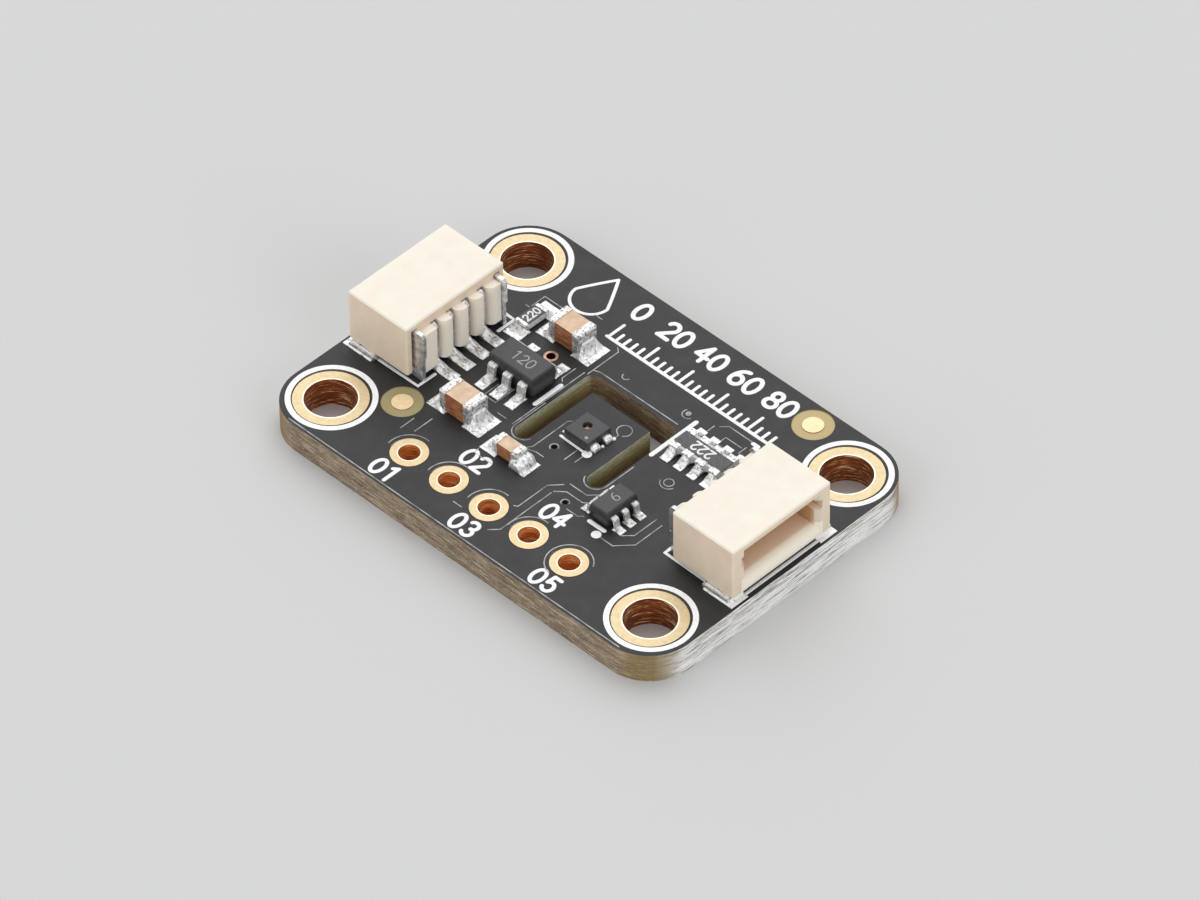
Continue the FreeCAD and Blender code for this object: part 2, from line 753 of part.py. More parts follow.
def end_cap(kind, end):
    """A plated end cap: a block with soft edges, hollowed by the ceramic that it wraps."""
    block = doc.addObject("Part::Box", "Cap")
    start = "%s_length / 2 - %s_cap" % (kind, kind) if end > 0 else "-1 * %s_length / 2" % kind
    bind(block, Length=kind + "_cap", Width=kind + "_width", Height=kind + "_height",
         Placement__Base__x=start, Placement__Base__y="-1 * %s_width / 2" % kind,
         Placement__Base__z="board_thickness + solder_film")
    doc.recompute()
    chosen = []
    for number, edge in enumerate(block.Shape.Edges, start=1):
        if abs(edge.BoundBox.Center.x) > amount(kind + "_length / 2 - %s_cap" % kind) + 0.001:
            chosen.append((number, amount("cap_edge"), amount("cap_edge")))
    soft = doc.addObject("Part::Chamfer", "SoftCap")
    soft.Base = block
    soft.Edges = chosen
    cut = doc.addObject("Part::Cut", "HollowCap")
    cut.Base = soft
    cut.Tool = ceramic_block(kind)
    doc.recompute()
    return cut


def group(label, pieces, x="0", y="0", turn=0.0):
    """Separate solids of one kind, kept together as one sub-part."""
    compound = doc.addObject("Part::Compound", "Group")
    compound.Links = pieces
    place(compound, x, y, "0", turn)
    return keep(compound, label)


def turned_block(block, x, y, turn):
    """A group of one, which lets a block that is drawn centred be placed and turned."""
    compound = doc.addObject("Part::Compound", "Placed")
    compound.Links = [block]
    return place(compound, x, y, "0", turn)


def chip_part(label, kind, x, y, turn=0.0):
    keep(turned_block(ceramic_block(kind), x, y, turn), label + "_body")
    caps = [end_cap(kind, end) for end in ENDS]
    group(label + "_terminals", caps, x, y, turn)


def chip_solder(name, kind, land):
    """Solder of a chip part: a land beyond each cap and a fillet that climbs the cap's end."""
    half = kind + "_length / 2"
    lands = []
    fillets = []
    for end in ENDS:
        sides = [half + " - %s_cap" % kind, half + " + %s_land_out" % land]
        if end < 0:
            sides = ["-1 * (%s)" % side for side in reversed(sides)]
        lands.append((*sides, "-1 * %s_land_width / 2" % land, "%s_land_width / 2" % land))
        sign = "%d * " % end
        run = "0.6 * %s_land_out" % land
        fillets.append(("XZ", "0", [
            (sign + "(%s)" % half, "solder_film"), (sign + "(%s + %s)" % (half, run), "solder_film"),
            (sign + "(%s + %s / 3)" % (half, run), "solder_film + solder_rise * %s_height / 3" % kind),
            (sign + "(%s)" % half, "solder_film + solder_rise * %s_height" % kind),
        ], kind + "_width"))
    return solder_group(name, lands, fillets)


def dark_coat(label, length, width, top, x, y, turn=0.0):
    """The dark glass coat on a resistor's upper face."""
    body = new_body("Coat")
    outline = new_sketch(body, "XY", top)
    rectangle(outline, "-1 * (%s) / 2" % length, "(%s) / 2" % length,
              "-1 * (%s) / 2" % width, "(%s) / 2" % width)
    pad(body, outline, "coat")
    round_edges(body, lambda edge: at(edge, z=top + " + coat"), "coat_edge", bevel=True)
    place(body, x, y, "board_thickness", turn)
    return keep(body, label)


# The resistor array: four elements in one ceramic, with a terminal at each end of each element.

def array_columns():
    for number in range(ARRAY_ELEMENTS):
        yield "%g * array_pitch" % (number - (ARRAY_ELEMENTS - 1) / 2)


def array_outline(sketch, trim):
    length = "array_length / 2 - " + trim
    width = "array_width / 2 - " + trim
    rectangle(sketch, "-1 * (%s)" % length, length, "-1 * (%s)" % width, width)


def array_body(label, x, y):
    """The ceramic, with a half-round notch between neighbouring terminals."""
    body = new_body("ArrayCeramic")
    outline = new_sketch(body, "XY", "solder_film + cap_plating")
    array_outline(outline, "cap_plating")
    pad(body, outline, "array_height - 2 * cap_plating")
    notches = new_sketch(body, "XY", "solder_film + array_height")
    for number in range(ARRAY_ELEMENTS - 1):
        column = "%g * array_pitch" % (number - (ARRAY_ELEMENTS - 2) / 2)
        for end in ENDS:
            circle(notches, column, "%d * (array_width / 2 - cap_plating)" % end, "array_notch_radius")
    pocket(body, notches, "array_height")
    place(body, x, y, "board_thickness")
    return keep(body, label)


def array_terminals(label, x, y):
    """Eight plated terminals, each folded round one long edge of the ceramic."""
    pieces = []
    for column in array_columns():
        for end in ENDS:
            block = doc.addObject("Part::Box", "Terminal")
            start = "array_width / 2 - array_terminal_depth" if end > 0 else "-1 * array_width / 2"
            bind(block, Length="array_terminal_width", Width="array_terminal_depth", Height="array_height",
                 Placement__Base__x="%s - array_terminal_width / 2" % column,
                 Placement__Base__y=start, Placement__Base__z="board_thickness + solder_film")
            core = doc.addObject("Part::Box", "Core")
            bind(core, Length="array_terminal_width", Width="array_width - 2 * cap_plating",
                 Height="array_height - 2 * cap_plating",
                 Placement__Base__x="%s - array_terminal_width / 2" % column,
                 Placement__Base__y="-1 * (array_width / 2 - cap_plating)",
                 Placement__Base__z="board_thickness + solder_film + cap_plating")
            cut = doc.addObject("Part::Cut", "FoldedTerminal")
            cut.Base = block
            cut.Tool = core
            pieces.append(cut)
    return group(label, pieces, x, y)


def array_solder(name):
    lands = []
    fillets = []
    half = "array_width / 2"
    for column in array_columns():
        for end in ENDS:
            sides = [half + " - array_terminal_depth", half + " + array_land_out"]
            if end < 0:
                sides = ["-1 * (%s)" % side for side in reversed(sides)]
            lands.append(("%s - array_land_width / 2" % column, "%s + array_land_width / 2" % column, *sides))
            sign = "%d * " % end
            run = "0.6 * array_land_out"
            fillets.append(("YZ", column, [
                (sign + "(%s)" % half, "solder_film"), (sign + "(%s + %s)" % (half, run), "solder_film"),
                (sign + "(%s + %s / 3)" % (half, run), "solder_film + solder_rise * array_height / 3"),
                (sign + "(%s)" % half, "solder_film + solder_rise * array_height"),
            ], "array_terminal_width"))
    return solder_group(name, lands, fillets)


# The sensor.

def sensor_package(label):
    body = new_body("Sensor")
    outline = new_sketch(body, "XY", "solder_film")
    half = "sensor_side / 2"
    rectangle(outline, "-1 * " + half, half, "-1 * " + half, half)
    pad(body, outline, "sensor_height")
    top = "solder_film + sensor_height"
    well = new_sketch(body, "XY", top)
    circle(well, "-1 * sensor_opening_left", "sensor_opening_back", "sensor_opening / 2")
    pocket(body, well, "sensor_roof")
    round_edges(body, lambda edge: edge.Closed and at(edge, z=top), "sensor_opening_bevel", bevel=True)
    round_edges(body, lambda edge: not edge.Closed and at(edge, z=top), "sensor_edge", bevel=True)
    place(body, z="board_thickness")
    return keep(body, label)


def sensor_element(label):
    """The sensing element, on the floor of the package's opening."""
    block = doc.addObject("Part::Box", "Element")
    bind(block, Length="sensor_element", Width="sensor_element", Height="sensor_element_height",
         Placement__Base__x="-1 * (sensor_opening_left + sensor_element / 2)",
         Placement__Base__y="sensor_opening_back - sensor_element / 2",
         Placement__Base__z="board_thickness + solder_film + sensor_height - sensor_roof")
    return keep(block, label)


def sensor_solder(name):
    lands = []
    fillets = []
    half = "sensor_side / 2"
    for end in ENDS:
        for row in ENDS:
            column = "%d * sensor_pitch / 2" % row
            sides = [half + " - sensor_land_in", half + " + sensor_land_out"]
            if end < 0:
                sides = ["-1 * (%s)" % side for side in reversed(sides)]
            lands.append((*sides, "%s - sensor_land_width / 2" % column, "%s + sensor_land_width / 2" % column))
            sign = "%d * " % end
            run = "0.6 * sensor_land_out"
            fillets.append(("XZ", "-1 * %s" % column, [
                (sign + "(%s)" % half, "solder_film"), (sign + "(%s + %s)" % (half, run), "solder_film"),
                (sign + "(%s)" % half, "solder_film + solder_rise * sensor_height"),
            ], "0.8 * sensor_land_width"))
    return solder_group(name, lands, fillets)


# The whole module.

circuit_board()
for number, (hole_x, hole_y) in enumerate(mount_places(), start=1):
    plated_ring("mounting_ring_%d" % number, hole_x, hole_y, "mount_hole", "mount_pad")
for number, (hole_x, hole_y) in enumerate(header_places(), start=1):
    plated_ring("header_ring_%d" % number, hole_x, hole_y, "header_hole", "header_pad")
plated_ring("via_ring", LEFT_END % "via_inset", "via_back", "via_hole", "via_pad")
for fiducial_name, (dot_x, dot_y) in zip(("front_fiducial", "back_fiducial"), fiducial_places()):
    fiducial(fiducial_name, dot_x, dot_y)

socket_joints = []
for socket_side, socket_name in ((-1, "left_socket"), (1, "right_socket")):
    socket_housing(socket_side, socket_name + "_housing")
    for number, contact_y in enumerate(contact_places(), start=1):
        socket_contact(socket_side, "%s_contact_%d" % (socket_name, number), contact_y)
    for socket_end, end_name in ((-1, "front"), (1, "back")):
        anchor_end = socket_end * socket_side
        socket_anchor(socket_side, "%s_%s_anchor" % (socket_name, end_name), anchor_end)
    socket_joints.append(socket_solder(socket_side))
group("socket_solder", socket_joints)

regulator_x = LEFT_END % "regulator_inset"
regulator_y = "regulator_back"
moulded_package("regulator_body", "regulator", regulator_x, regulator_y, 0.0)
regulator_leads = [("-1 * regulator_pitch", -1), ("0 * regulator_pitch", -1), ("1 * regulator_pitch", -1),
                   ("-1 * regulator_pitch", 1), ("1 * regulator_pitch", 1)]
for number, (lead_place, lead_side) in enumerate(regulator_leads, start=1):
    gull_wing_lead("regulator_lead_%d" % number, "regulator", regulator_x, regulator_y, 0,
                   "%d * (%s)" % (lead_side, lead_place), lead_side)

shifter_x = "shifter_right"
shifter_y = "-1 * shifter_front"
moulded_package("level_shifter_body", "shifter", shifter_x, shifter_y, 90.0)
shifter_leads = []
for lead_side in ENDS:
    for lead_number in (-1, 0, 1):
        shifter_leads.append(("%d * shifter_pitch" % lead_number, lead_side))
for number, (lead_place, lead_side) in enumerate(shifter_leads, start=1):
    gull_wing_lead("level_shifter_lead_%d" % number, "shifter", shifter_x, shifter_y, 1,
                   lead_place, lead_side)
regulator_joints = place(lead_solder("Solder", "regulator", regulator_leads),
                         regulator_x, regulator_y, "board_thickness")
shifter_joints = place(lead_solder("Solder", "shifter", shifter_leads),
                       shifter_x, shifter_y, "board_thickness", 90.0)
group("package_solder", [regulator_joints, shifter_joints])

capacitor_joints = []
for capacitor, kind_name, land_name, chip_x, chip_y in (
        ("rear_capacitor", "large_capacitor", "large", LEFT_END % "rear_capacitor_inset",
         "rear_capacitor_back"),
        ("front_capacitor", "large_capacitor", "large", LEFT_END % "front_capacitor_inset",
         "-1 * front_capacitor_front"),
        ("small_capacitor", "small_capacitor", "small", LEFT_END % "small_capacitor_inset",
         "-1 * small_capacitor_front")):
    chip_part(capacitor, kind_name, chip_x, chip_y)
    joint = chip_solder("Solder", kind_name, land_name)
    capacitor_joints.append(place(joint, chip_x, chip_y, "board_thickness"))
group("capacitor_solder", capacitor_joints)

resistor_x = LEFT_END % "resistor_inset"
resistor_y = "resistor_back"
chip_part("resistor", "resistor", resistor_x, resistor_y, 90.0)
dark_coat("resistor_coat", "resistor_length - 2 * resistor_cap", "resistor_width - 2 * cap_plating",
          "solder_film + resistor_height - cap_plating", resistor_x, resistor_y, 90.0)
array_x = RIGHT_END % "array_inset"
array_y = "array_back"
array_body("resistor_array_body", array_x, array_y)
dark_coat("resistor_array_coat", "array_length - 2 * cap_plating",
          "array_width - 2 * array_terminal_depth", "solder_film + array_height - cap_plating",
          array_x, array_y)
array_terminals("resistor_array_terminals", array_x, array_y)
resistor_joint = place(chip_solder("Solder", "resistor", "resistor"), resistor_x, resistor_y,
                       "board_thickness", 90.0)
array_joint = place(array_solder("Solder"), array_x, array_y, "board_thickness")
group("resistor_solder", [resistor_joint, array_joint])

sensor_package("sensor_package")
sensor_element("sensor_element")
sensor_joint = place(sensor_solder("Solder"), z="board_thickness")
group("sensor_solder", [sensor_joint])

doc.recompute()
for item in doc.Objects:
    if "Invalid" in item.State or "Error" in item.State:
        raise RuntimeError("%s (%s) failed: %s" % (item.Name, item.Label, item.State))
os.makedirs("parts", exist_ok=True)
for node in nodes:
    shape = node.Shape
    if shape.isNull() or not shape.isValid():
        raise RuntimeError("%s has no valid shape" % node.Label)
    shape.exportStep(os.path.join("parts", node.Label + ".step"))
print("%d sub-parts written" % len(nodes))
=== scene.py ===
# %% [markdown]
# # A temperature and humidity sensor module
# This lesson dresses a small circuit board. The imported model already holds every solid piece:
# the laminate, the plug sockets, the chips and their leads. What is missing is what a camera
# sees first: dark lacquer, white print, bright solder, ivory nylon and the glass cloth on the
# cut edges. The frame comes in first, and its box is kept so the sizes can be compared later.

# %% Load the frame
import math

import bpy
from mathutils import Matrix, Vector


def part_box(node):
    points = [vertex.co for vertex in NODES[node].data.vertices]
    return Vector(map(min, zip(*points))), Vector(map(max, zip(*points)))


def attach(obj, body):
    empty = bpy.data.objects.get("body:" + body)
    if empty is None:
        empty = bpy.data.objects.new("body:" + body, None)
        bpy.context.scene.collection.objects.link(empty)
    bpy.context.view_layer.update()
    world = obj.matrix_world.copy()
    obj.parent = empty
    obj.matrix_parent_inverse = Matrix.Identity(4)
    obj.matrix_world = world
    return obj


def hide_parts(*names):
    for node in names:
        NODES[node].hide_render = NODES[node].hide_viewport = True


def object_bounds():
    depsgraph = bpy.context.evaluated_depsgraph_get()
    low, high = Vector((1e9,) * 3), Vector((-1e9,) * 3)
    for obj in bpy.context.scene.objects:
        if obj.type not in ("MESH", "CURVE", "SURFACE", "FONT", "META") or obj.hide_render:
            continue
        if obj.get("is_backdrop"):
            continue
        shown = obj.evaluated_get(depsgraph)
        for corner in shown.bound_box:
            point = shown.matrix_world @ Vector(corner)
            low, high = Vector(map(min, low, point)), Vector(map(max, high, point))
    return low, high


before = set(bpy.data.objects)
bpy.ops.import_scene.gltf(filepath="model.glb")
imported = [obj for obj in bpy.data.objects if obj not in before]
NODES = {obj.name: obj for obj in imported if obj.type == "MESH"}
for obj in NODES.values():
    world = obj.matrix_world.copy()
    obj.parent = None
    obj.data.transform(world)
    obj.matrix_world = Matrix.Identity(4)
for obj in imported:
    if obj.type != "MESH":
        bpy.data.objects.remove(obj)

MM = 0.001
cad_box = [list(corner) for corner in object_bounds()]
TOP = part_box("circuit_board")[1][2]
print("nodes:", len(NODES), "board top at", round(TOP / MM, 3), "mm")

# %% [markdown]
# ## The camera
# The photograph was taken with a long lens, 45 degrees round from the header row and 44 degrees
# up. The place and the lens were worked out from the board's corners and holes, so a render
# lines up with the picture hole by hole.

# %% Camera
AZIMUTH, ELEVATION, ROLL = math.radians(45.02796), math.radians(44.33537), math.radians(-0.76579)
DISTANCE = 466.34829 * MM
TARGET = Vector((0.45337, 0.32596, 0.8)) * MM
LENS, SENSOR, NEAREST = 308.26, 36.0, 0.01

back = Vector((math.sin(AZIMUTH) * math.cos(ELEVATION), -math.cos(AZIMUTH) * math.cos(ELEVATION),
               math.sin(ELEVATION)))
level = Vector((math.cos(AZIMUTH), math.sin(AZIMUTH), 0.0))
upright = back.cross(level)
right = level * math.cos(ROLL) + upright * math.sin(ROLL)
up = upright * math.cos(ROLL) - level * math.sin(ROLL)
turned = Matrix((right, up, back)).transposed().to_4x4()

camera_data = bpy.data.cameras.new("camera")
camera_data.sensor_width = SENSOR
camera_data.lens = LENS
camera_data.clip_start = NEAREST
camera = bpy.data.objects.new("camera", camera_data)
bpy.context.scene.collection.objects.link(camera)
camera.matrix_world = Matrix.Translation(TARGET + back * DISTANCE) @ turned
bpy.context.scene.camera = camera
bpy.context.scene.view_settings.view_transform = "Standard"
print("camera at", [round(v / MM) for v in camera.location], "mm")

# %% [markdown]
# ## Colours and shader nodes
# A colour picked on a screen is sRGB, and Blender's sockets want linear light, so one function
# turns a hex value into what a socket takes. One more adds a node with its settings and links,
# and the short ones after it name what such a node is for. Every material starts from
# coordinates in millimetres, so ten grains to the millimetre means a grain of 0.1 mm.

# %% Helpers for nodes
def colour(hex_value):
    """The linear light of an sRGB hex value."""
    parts = [int(hex_value[i:i + 2], 16) / 255 for i in (1, 3, 5)]
    return (*(c / 12.92 if c <= 0.04045 else ((c + 0.055) / 1.055) ** 2.4 for c in parts), 1.0)


def feed(node, inputs):
    """Gives sockets their values. A node as a value stands for its first enabled output."""
    for name, value in inputs.items():
        if isinstance(value, bpy.types.Node):
            value = next(out for out in value.outputs if out.enabled)
        if isinstance(value, bpy.types.NodeSocket):
            node.id_data.links.new(value, node.inputs[name])
        else:
            node.inputs[name].default_value = value
    return node


def add(tree, kind, inputs, stops=(), **settings):
    """A new shader node. Stops are the places and hex colours of a ramp."""
    node = tree.nodes.new("ShaderNode" + kind)
    for name, value in settings.items():
        setattr(node, name, value)
    for number, (place, shade) in enumerate(stops):
        points = node.color_ramp.elements
        point = points[number] if number < 2 else points.new(place)
        point.position, point.color = place, colour(shade)
    return feed(node, inputs)


print("#808080 is", [round(part, 3) for part in colour("#808080")], "in linear light")


# %% Helpers for values
def reckon(tree, operation, *values):
    """Arithmetic on up to three numbers, nodes or sockets."""
    return add(tree, "Math", dict(enumerate(values)), operation=operation)


def both(tree, first, *others):
    """1 where every one of some limits is 1."""
    for other in others:
        first = reckon(tree, "MULTIPLY", first, other)
    return first


def fade(tree, value, start, end, most=1.0):
    """Goes from 0, where a value is at the start, to the most at the end."""
    return add(tree, "MapRange", {"Value": value, "From Min": start, "From Max": end,
                                  "To Max": most})


def mix(tree, factor, first, second, **settings):
    """The first colour where the factor is 0, the second where it is 1."""
    return add(tree, "Mix", {0: factor, 6: first, 7: second}, data_type="RGBA", **settings)


def pick(tree, factor, first, second):
    """The same for two plain values."""
    return add(tree, "Mix", {0: factor, 2: first, 3: second}, data_type="FLOAT")


# %% Helpers for patterns
def ramp(tree, factor, stops):
    """Colours along a value."""
    return add(tree, "ValToRGB", {"Fac": factor}, stops)


def stretch(tree, vector, scale):
    """Coordinates stretched by a factor for each axis."""
    return add(tree, "Mapping", {"Vector": vector, "Scale": scale})


def noise(tree, vector, grains, detail, roughness=0.5):
    """Noise with so many grains to the millimetre: one number, or one for each axis."""
    if isinstance(grains, tuple):
        vector, grains = stretch(tree, vector, grains), 1.0
    return add(tree, "TexNoise", {"Vector": vector, "Scale": grains, "Detail": detail,
                                  "Roughness": roughness})


def bump(tree, height, rise, strength=1.0):
    """Lifts the surface by up to a rise in millimetres."""
    return add(tree, "Bump", {"Height": height, "Distance": rise * MM, "Strength": strength})


def split(tree, vector):
    """The X, Y and Z of a vector."""
    return add(tree, "SeparateXYZ", {"Vector": vector}).outputs


def facing(tree):
    """The X, Y and Z of the way the surface looks."""
    return split(tree, add(tree, "NewGeometry", {}).outputs["Normal"])


# %% Helpers for materials
def material(name, **sockets):
    """A new material whose shader sockets hold plain values, and its place in millimetres."""
    made = bpy.data.materials.new(name)
    made.use_nodes = True
    tree = made.node_tree
    plain = {key.replace("_", " "): value for key, value in sockets.items()}
    shader = feed(tree.nodes["Principled BSDF"], plain)
    place = add(tree, "TexCoord", {}).outputs["Object"]
    return made, tree, shader, stretch(tree, place, (1 / MM, 1 / MM, 1 / MM))


def grained(name, stops, grain, relief, drawn=(1, 1, 1), **sockets):
    """A finish of one grain size: it shades the colour a little and lifts the surface a little."""
    made, tree, shader, mm = material(name, **sockets)
    grains = noise(tree, stretch(tree, mm, drawn), 1 / grain, 3.0)
    feed(shader, {"Base Color": ramp(tree, grains, stops), "Normal": bump(tree, grains, relief)})
    return made


def give(made, *starts, ends=()):
    """Puts a material on every frame node whose name starts or ends as asked."""
    chosen = [piece for name, piece in NODES.items()
              if name.startswith(starts or ("-",)) or name.endswith(ends)]
    for piece in chosen:
        piece.data.materials.clear()
        piece.data.materials.append(made)
    print(made.name, "on", len(chosen), "nodes")


print("pieces to dress:", len(NODES))

# %% [markdown]
# ## Floor and light
# A pale plain floor under a very large soft lamp that hangs beyond the far left corner, as in the
# picture, so tops are brightest and each metal land mirrors it softly. Two smaller soft lamps
# stand to the right and in front, and the white world fills the rest like the walls of a light
# tent. Because the lamps are large and dim, polished gold keeps its colour where a small lamp
# would burn it white.

# %% Floor, lamps and world
FLOOR_SIZE = 3.0
bpy.ops.object.select_all(action="DESELECT")
bpy.ops.mesh.primitive_plane_add(size=FLOOR_SIZE, location=(0, 0, 0))
floor = bpy.context.object
floor.name = "floor"
# Matt paper throws light evenly to all sides, so the floor has no shine anywhere.
paper = material("matt_paper_floor", Base_Color=colour("#D0D0CF"), Roughness=0.95)[0]
floor.data.materials.append(paper)
floor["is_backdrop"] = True


def lamp(name, place, size, radiance):
    """A round soft lamp that faces the board. Its power follows from how bright its face looks."""
    data = bpy.data.lights.new(name, "AREA")
    data.shape = "DISK"
    data.size = size
    data.energy = radiance * math.pi * math.pi * (size / 2) ** 2
    made = bpy.data.objects.new(name, data)
    bpy.context.scene.collection.objects.link(made)
    made.location = place
    made.rotation_euler = Vector(place).to_track_quat("Z", "Y").to_euler()
    print(name, "%.1f W" % data.energy)


# Place, size across and radiance of each.
lamp("key_softbox", (-0.60, 0.62, 0.98), 1.8, 1.22)
lamp("right_softbox", (1.05, -0.1, 0.55), 0.8, 1.75)
lamp("front_softbox", (-0.1, -1.1, 0.6), 0.9, 1.4)
world = bpy.data.worlds.new("light_tent")
world.use_nodes = True
feed(world.node_tree.nodes["Background"], {"Color": colour("#F4F5F7"), "Strength": 0.68})
bpy.context.scene.world = world

# %% [markdown]
# ## Solder mask and laminate
# The board is glass cloth in epoxy under a thin dark lacquer called solder mask. From above only
# the lacquer shows: charcoal and satin. The cut edges are bare. Along the long side the saw shows
# brown resin with pale flecks, at the short end it lays the strands open, pale and striped, and
# the milled slot is olive above and brown below. The normal and the place tell these apart, so
# one material serves the whole solid. Two more spots are told by place: the round windows in the
# mask round the fiducial marks, and the gold lands on the underside.

# %% Board material: lacquer
board, tree, shader, mm = material("masked_glass_laminate", IOR=1.45)
place, normal = split(tree, mm), facing(tree)
x_size, y_size = reckon(tree, "ABSOLUTE", place["X"]), reckon(tree, "ABSOLUTE", place["Y"])
flat = reckon(tree, "GREATER_THAN", reckon(tree, "ABSOLUTE", normal["Z"]), 0.5)
lacquer = ramp(tree, noise(tree, mm, 1.1, 5.0),
               [(0.3, "#1F1F20"), (0.55, "#262627"), (0.75, "#2E2E2E")])
print("lacquer:", len(tree.nodes), "nodes")

# %% Board material: cut edges
# Strands lie level in the cut, 0.09 mm apart and a millimetre or two long. Flecks are shorter.
strands = noise(tree, mm, (1.0, 0.5, 11.0), 8.0, 0.75)
flecks = noise(tree, mm, (4.0, 4.0, 13.0), 4.0, 0.7)
resin = ramp(tree, strands,
             [(0.31, "#3F3226"), (0.43, "#7B6856"), (0.54, "#9C8972"), (0.66, "#D3C6AA")])
long_side = mix(tree, fade(tree, flecks, 0.55, 0.68), resin, colour("#C9BFA9"))

# The short end is paler, and dark cracks run between its layers, more of them towards the top.
short_side = ramp(tree, strands,
                  [(0.33, "#777166"), (0.41, "#D0CCC4"), (0.47, "#F5F4F1"), (0.6, "#FFFFFF")])
cracks = noise(tree, mm, (1.5, 0.6, 20.0), 4.0, 0.6)
cracks = reckon(tree, "MULTIPLY_ADD", place["Z"], -0.035, cracks)
short_side = mix(tree, fade(tree, cracks, 0.42, 0.36), short_side, colour("#6B665E"))
endwise = fade(tree, reckon(tree, "ABSOLUTE", normal["X"]), 0.75, 0.97)
cut = mix(tree, endwise, long_side, short_side)

# At the rounded corners the cutter left smooth, resin-rich olive.
slanted = reckon(tree, "ABSOLUTE", reckon(tree, "MULTIPLY", normal["X"], normal["Y"]))
cut = mix(tree, fade(tree, slanted, 0.12, 0.42, 0.65), cut, colour("#8F7643"))
print("with the cut edges:", len(tree.nodes), "nodes")

# %% Board material: walls of the slot
# Brown at the foot, then olive, and greenish grey at the top.
SLOT_REACH_X, SLOT_REACH_Y = 3.2, 3.6
wobble = reckon(tree, "MULTIPLY_ADD", strands, 1.8, place["Z"])
wobble = fade(tree, reckon(tree, "MULTIPLY_ADD", flecks, 1.4, wobble), 1.3, 3.4)
slot_wall = ramp(tree, wobble, [(0.10, "#5A4029"), (0.34, "#7E6440"), (0.56, "#948653"),
                                (0.76, "#A5A17F"), (0.95, "#CBCBBE")])
# Inside the slot the long walls take the long side's colour darkened: painted shade in the recess.
slot_side_painted_shade = mix(tree, 1.0, long_side, colour("#D2C6B4"), blend_type="MULTIPLY")
inside = both(tree, reckon(tree, "LESS_THAN", x_size, SLOT_REACH_X),
              reckon(tree, "LESS_THAN", y_size, SLOT_REACH_Y))
cut = mix(tree, inside, cut, mix(tree, endwise, slot_side_painted_shade, slot_wall))
skin = mix(tree, flat, cut, lacquer)
print("with the slot:", len(tree.nodes), "nodes")

# %% [markdown]
# The holes lie on two even patterns, so folding the coordinates over the middle of the board, or
# wrapping them round the pitch of the header, gives the distance from the nearest hole.

# %% Distances from the holes
HOLE_X, HOLE_Y = 10.16, 6.35    # of the mounting holes; the header row is at -HOLE_Y
PIN_PITCH = 2.54
CORNER_LAND, HEADER_LAND, MARK_WINDOW = 1.775, 0.9, 0.995    # radii


def reach(tree, x, y):
    """How far a point is from where x and y are both 0."""
    across = add(tree, "CombineXYZ", {"X": x, "Y": y})
    return add(tree, "VectorMath", {0: across}, operation="LENGTH").outputs["Value"]


def from_corner_hole(tree, place):
    """The distance from the nearest mounting hole."""
    x = reckon(tree, "SUBTRACT", reckon(tree, "ABSOLUTE", place["X"]), HOLE_X)
    y = reckon(tree, "SUBTRACT", reckon(tree, "ABSOLUTE", place["Y"]), HOLE_Y)
    return reach(tree, x, y)


def from_header_hole(tree, place):
    """The distance from the nearest header hole."""
    x = reckon(tree, "WRAP", place["X"], PIN_PITCH / 2, -PIN_PITCH / 2)
    return reach(tree, x, reckon(tree, "ADD", place["Y"], HOLE_Y))


print("land radii:", CORNER_LAND, "and", HEADER_LAND, "mm")

# %% Board material: windows, underside lands and relief
MARKS = ((-7.65, -4.25, "#A5986C"), (6.85, 7.63, "#C0AC78"))
WELL_LEVEL, MIDDLE = 1.58, 0.8    # heights: just under the mask's face, and half way down
ROW_END = 6.3    # along X, past the last header hole
well = both(tree, reckon(tree, "LESS_THAN", place["Z"], WELL_LEVEL),
            reckon(tree, "GREATER_THAN", place["Z"], MIDDLE))
for mark_x, mark_y, tone in MARKS:
    from_mark = reach(tree, reckon(tree, "SUBTRACT", place["X"], mark_x),
                      reckon(tree, "SUBTRACT", place["Y"], mark_y))
    window = both(tree, reckon(tree, "LESS_THAN", from_mark, MARK_WINDOW), well)
    skin = mix(tree, window, skin, colour(tone))

corner_lands = reckon(tree, "LESS_THAN", from_corner_hole(tree, place), CORNER_LAND)
row_lands = both(tree, reckon(tree, "LESS_THAN", from_header_hole(tree, place), HEADER_LAND),
                 reckon(tree, "LESS_THAN", x_size, ROW_END))
lands = both(tree, reckon(tree, "MAXIMUM", corner_lands, row_lands),
             reckon(tree, "LESS_THAN", normal["Z"], -0.5))
skin = mix(tree, lands, skin, colour("#F1DCAF"))

# Lacquer is satin with a faint orange peel; the saw leaves the strands standing and dull.
height = pick(tree, flat, reckon(tree, "MULTIPLY", strands, 7.0), noise(tree, mm, 5.0, 4.0))
feed(shader, {"Base Color": skin, "Metallic": lands, "Roughness": pick(tree, flat, 0.8, 0.5),
              "Normal": bump(tree, height, 0.006)})
give(board, "circuit_board")

# %% [markdown]
# ## Gold lands and drilled barrels
# Each hole is copper plated through and gilded on the face. The flat land is pale gold. The wall
# inside keeps the drill's rings and reads as orange-brown copper, its bright streaks painted
# glints.
# A painted highlight, nearly white, rings the edge between them. One function makes all four
# variants.

# %% Gold and copper materials
BARREL_PLACES = (0.34, 0.48, 0.58, 0.62, 0.64)


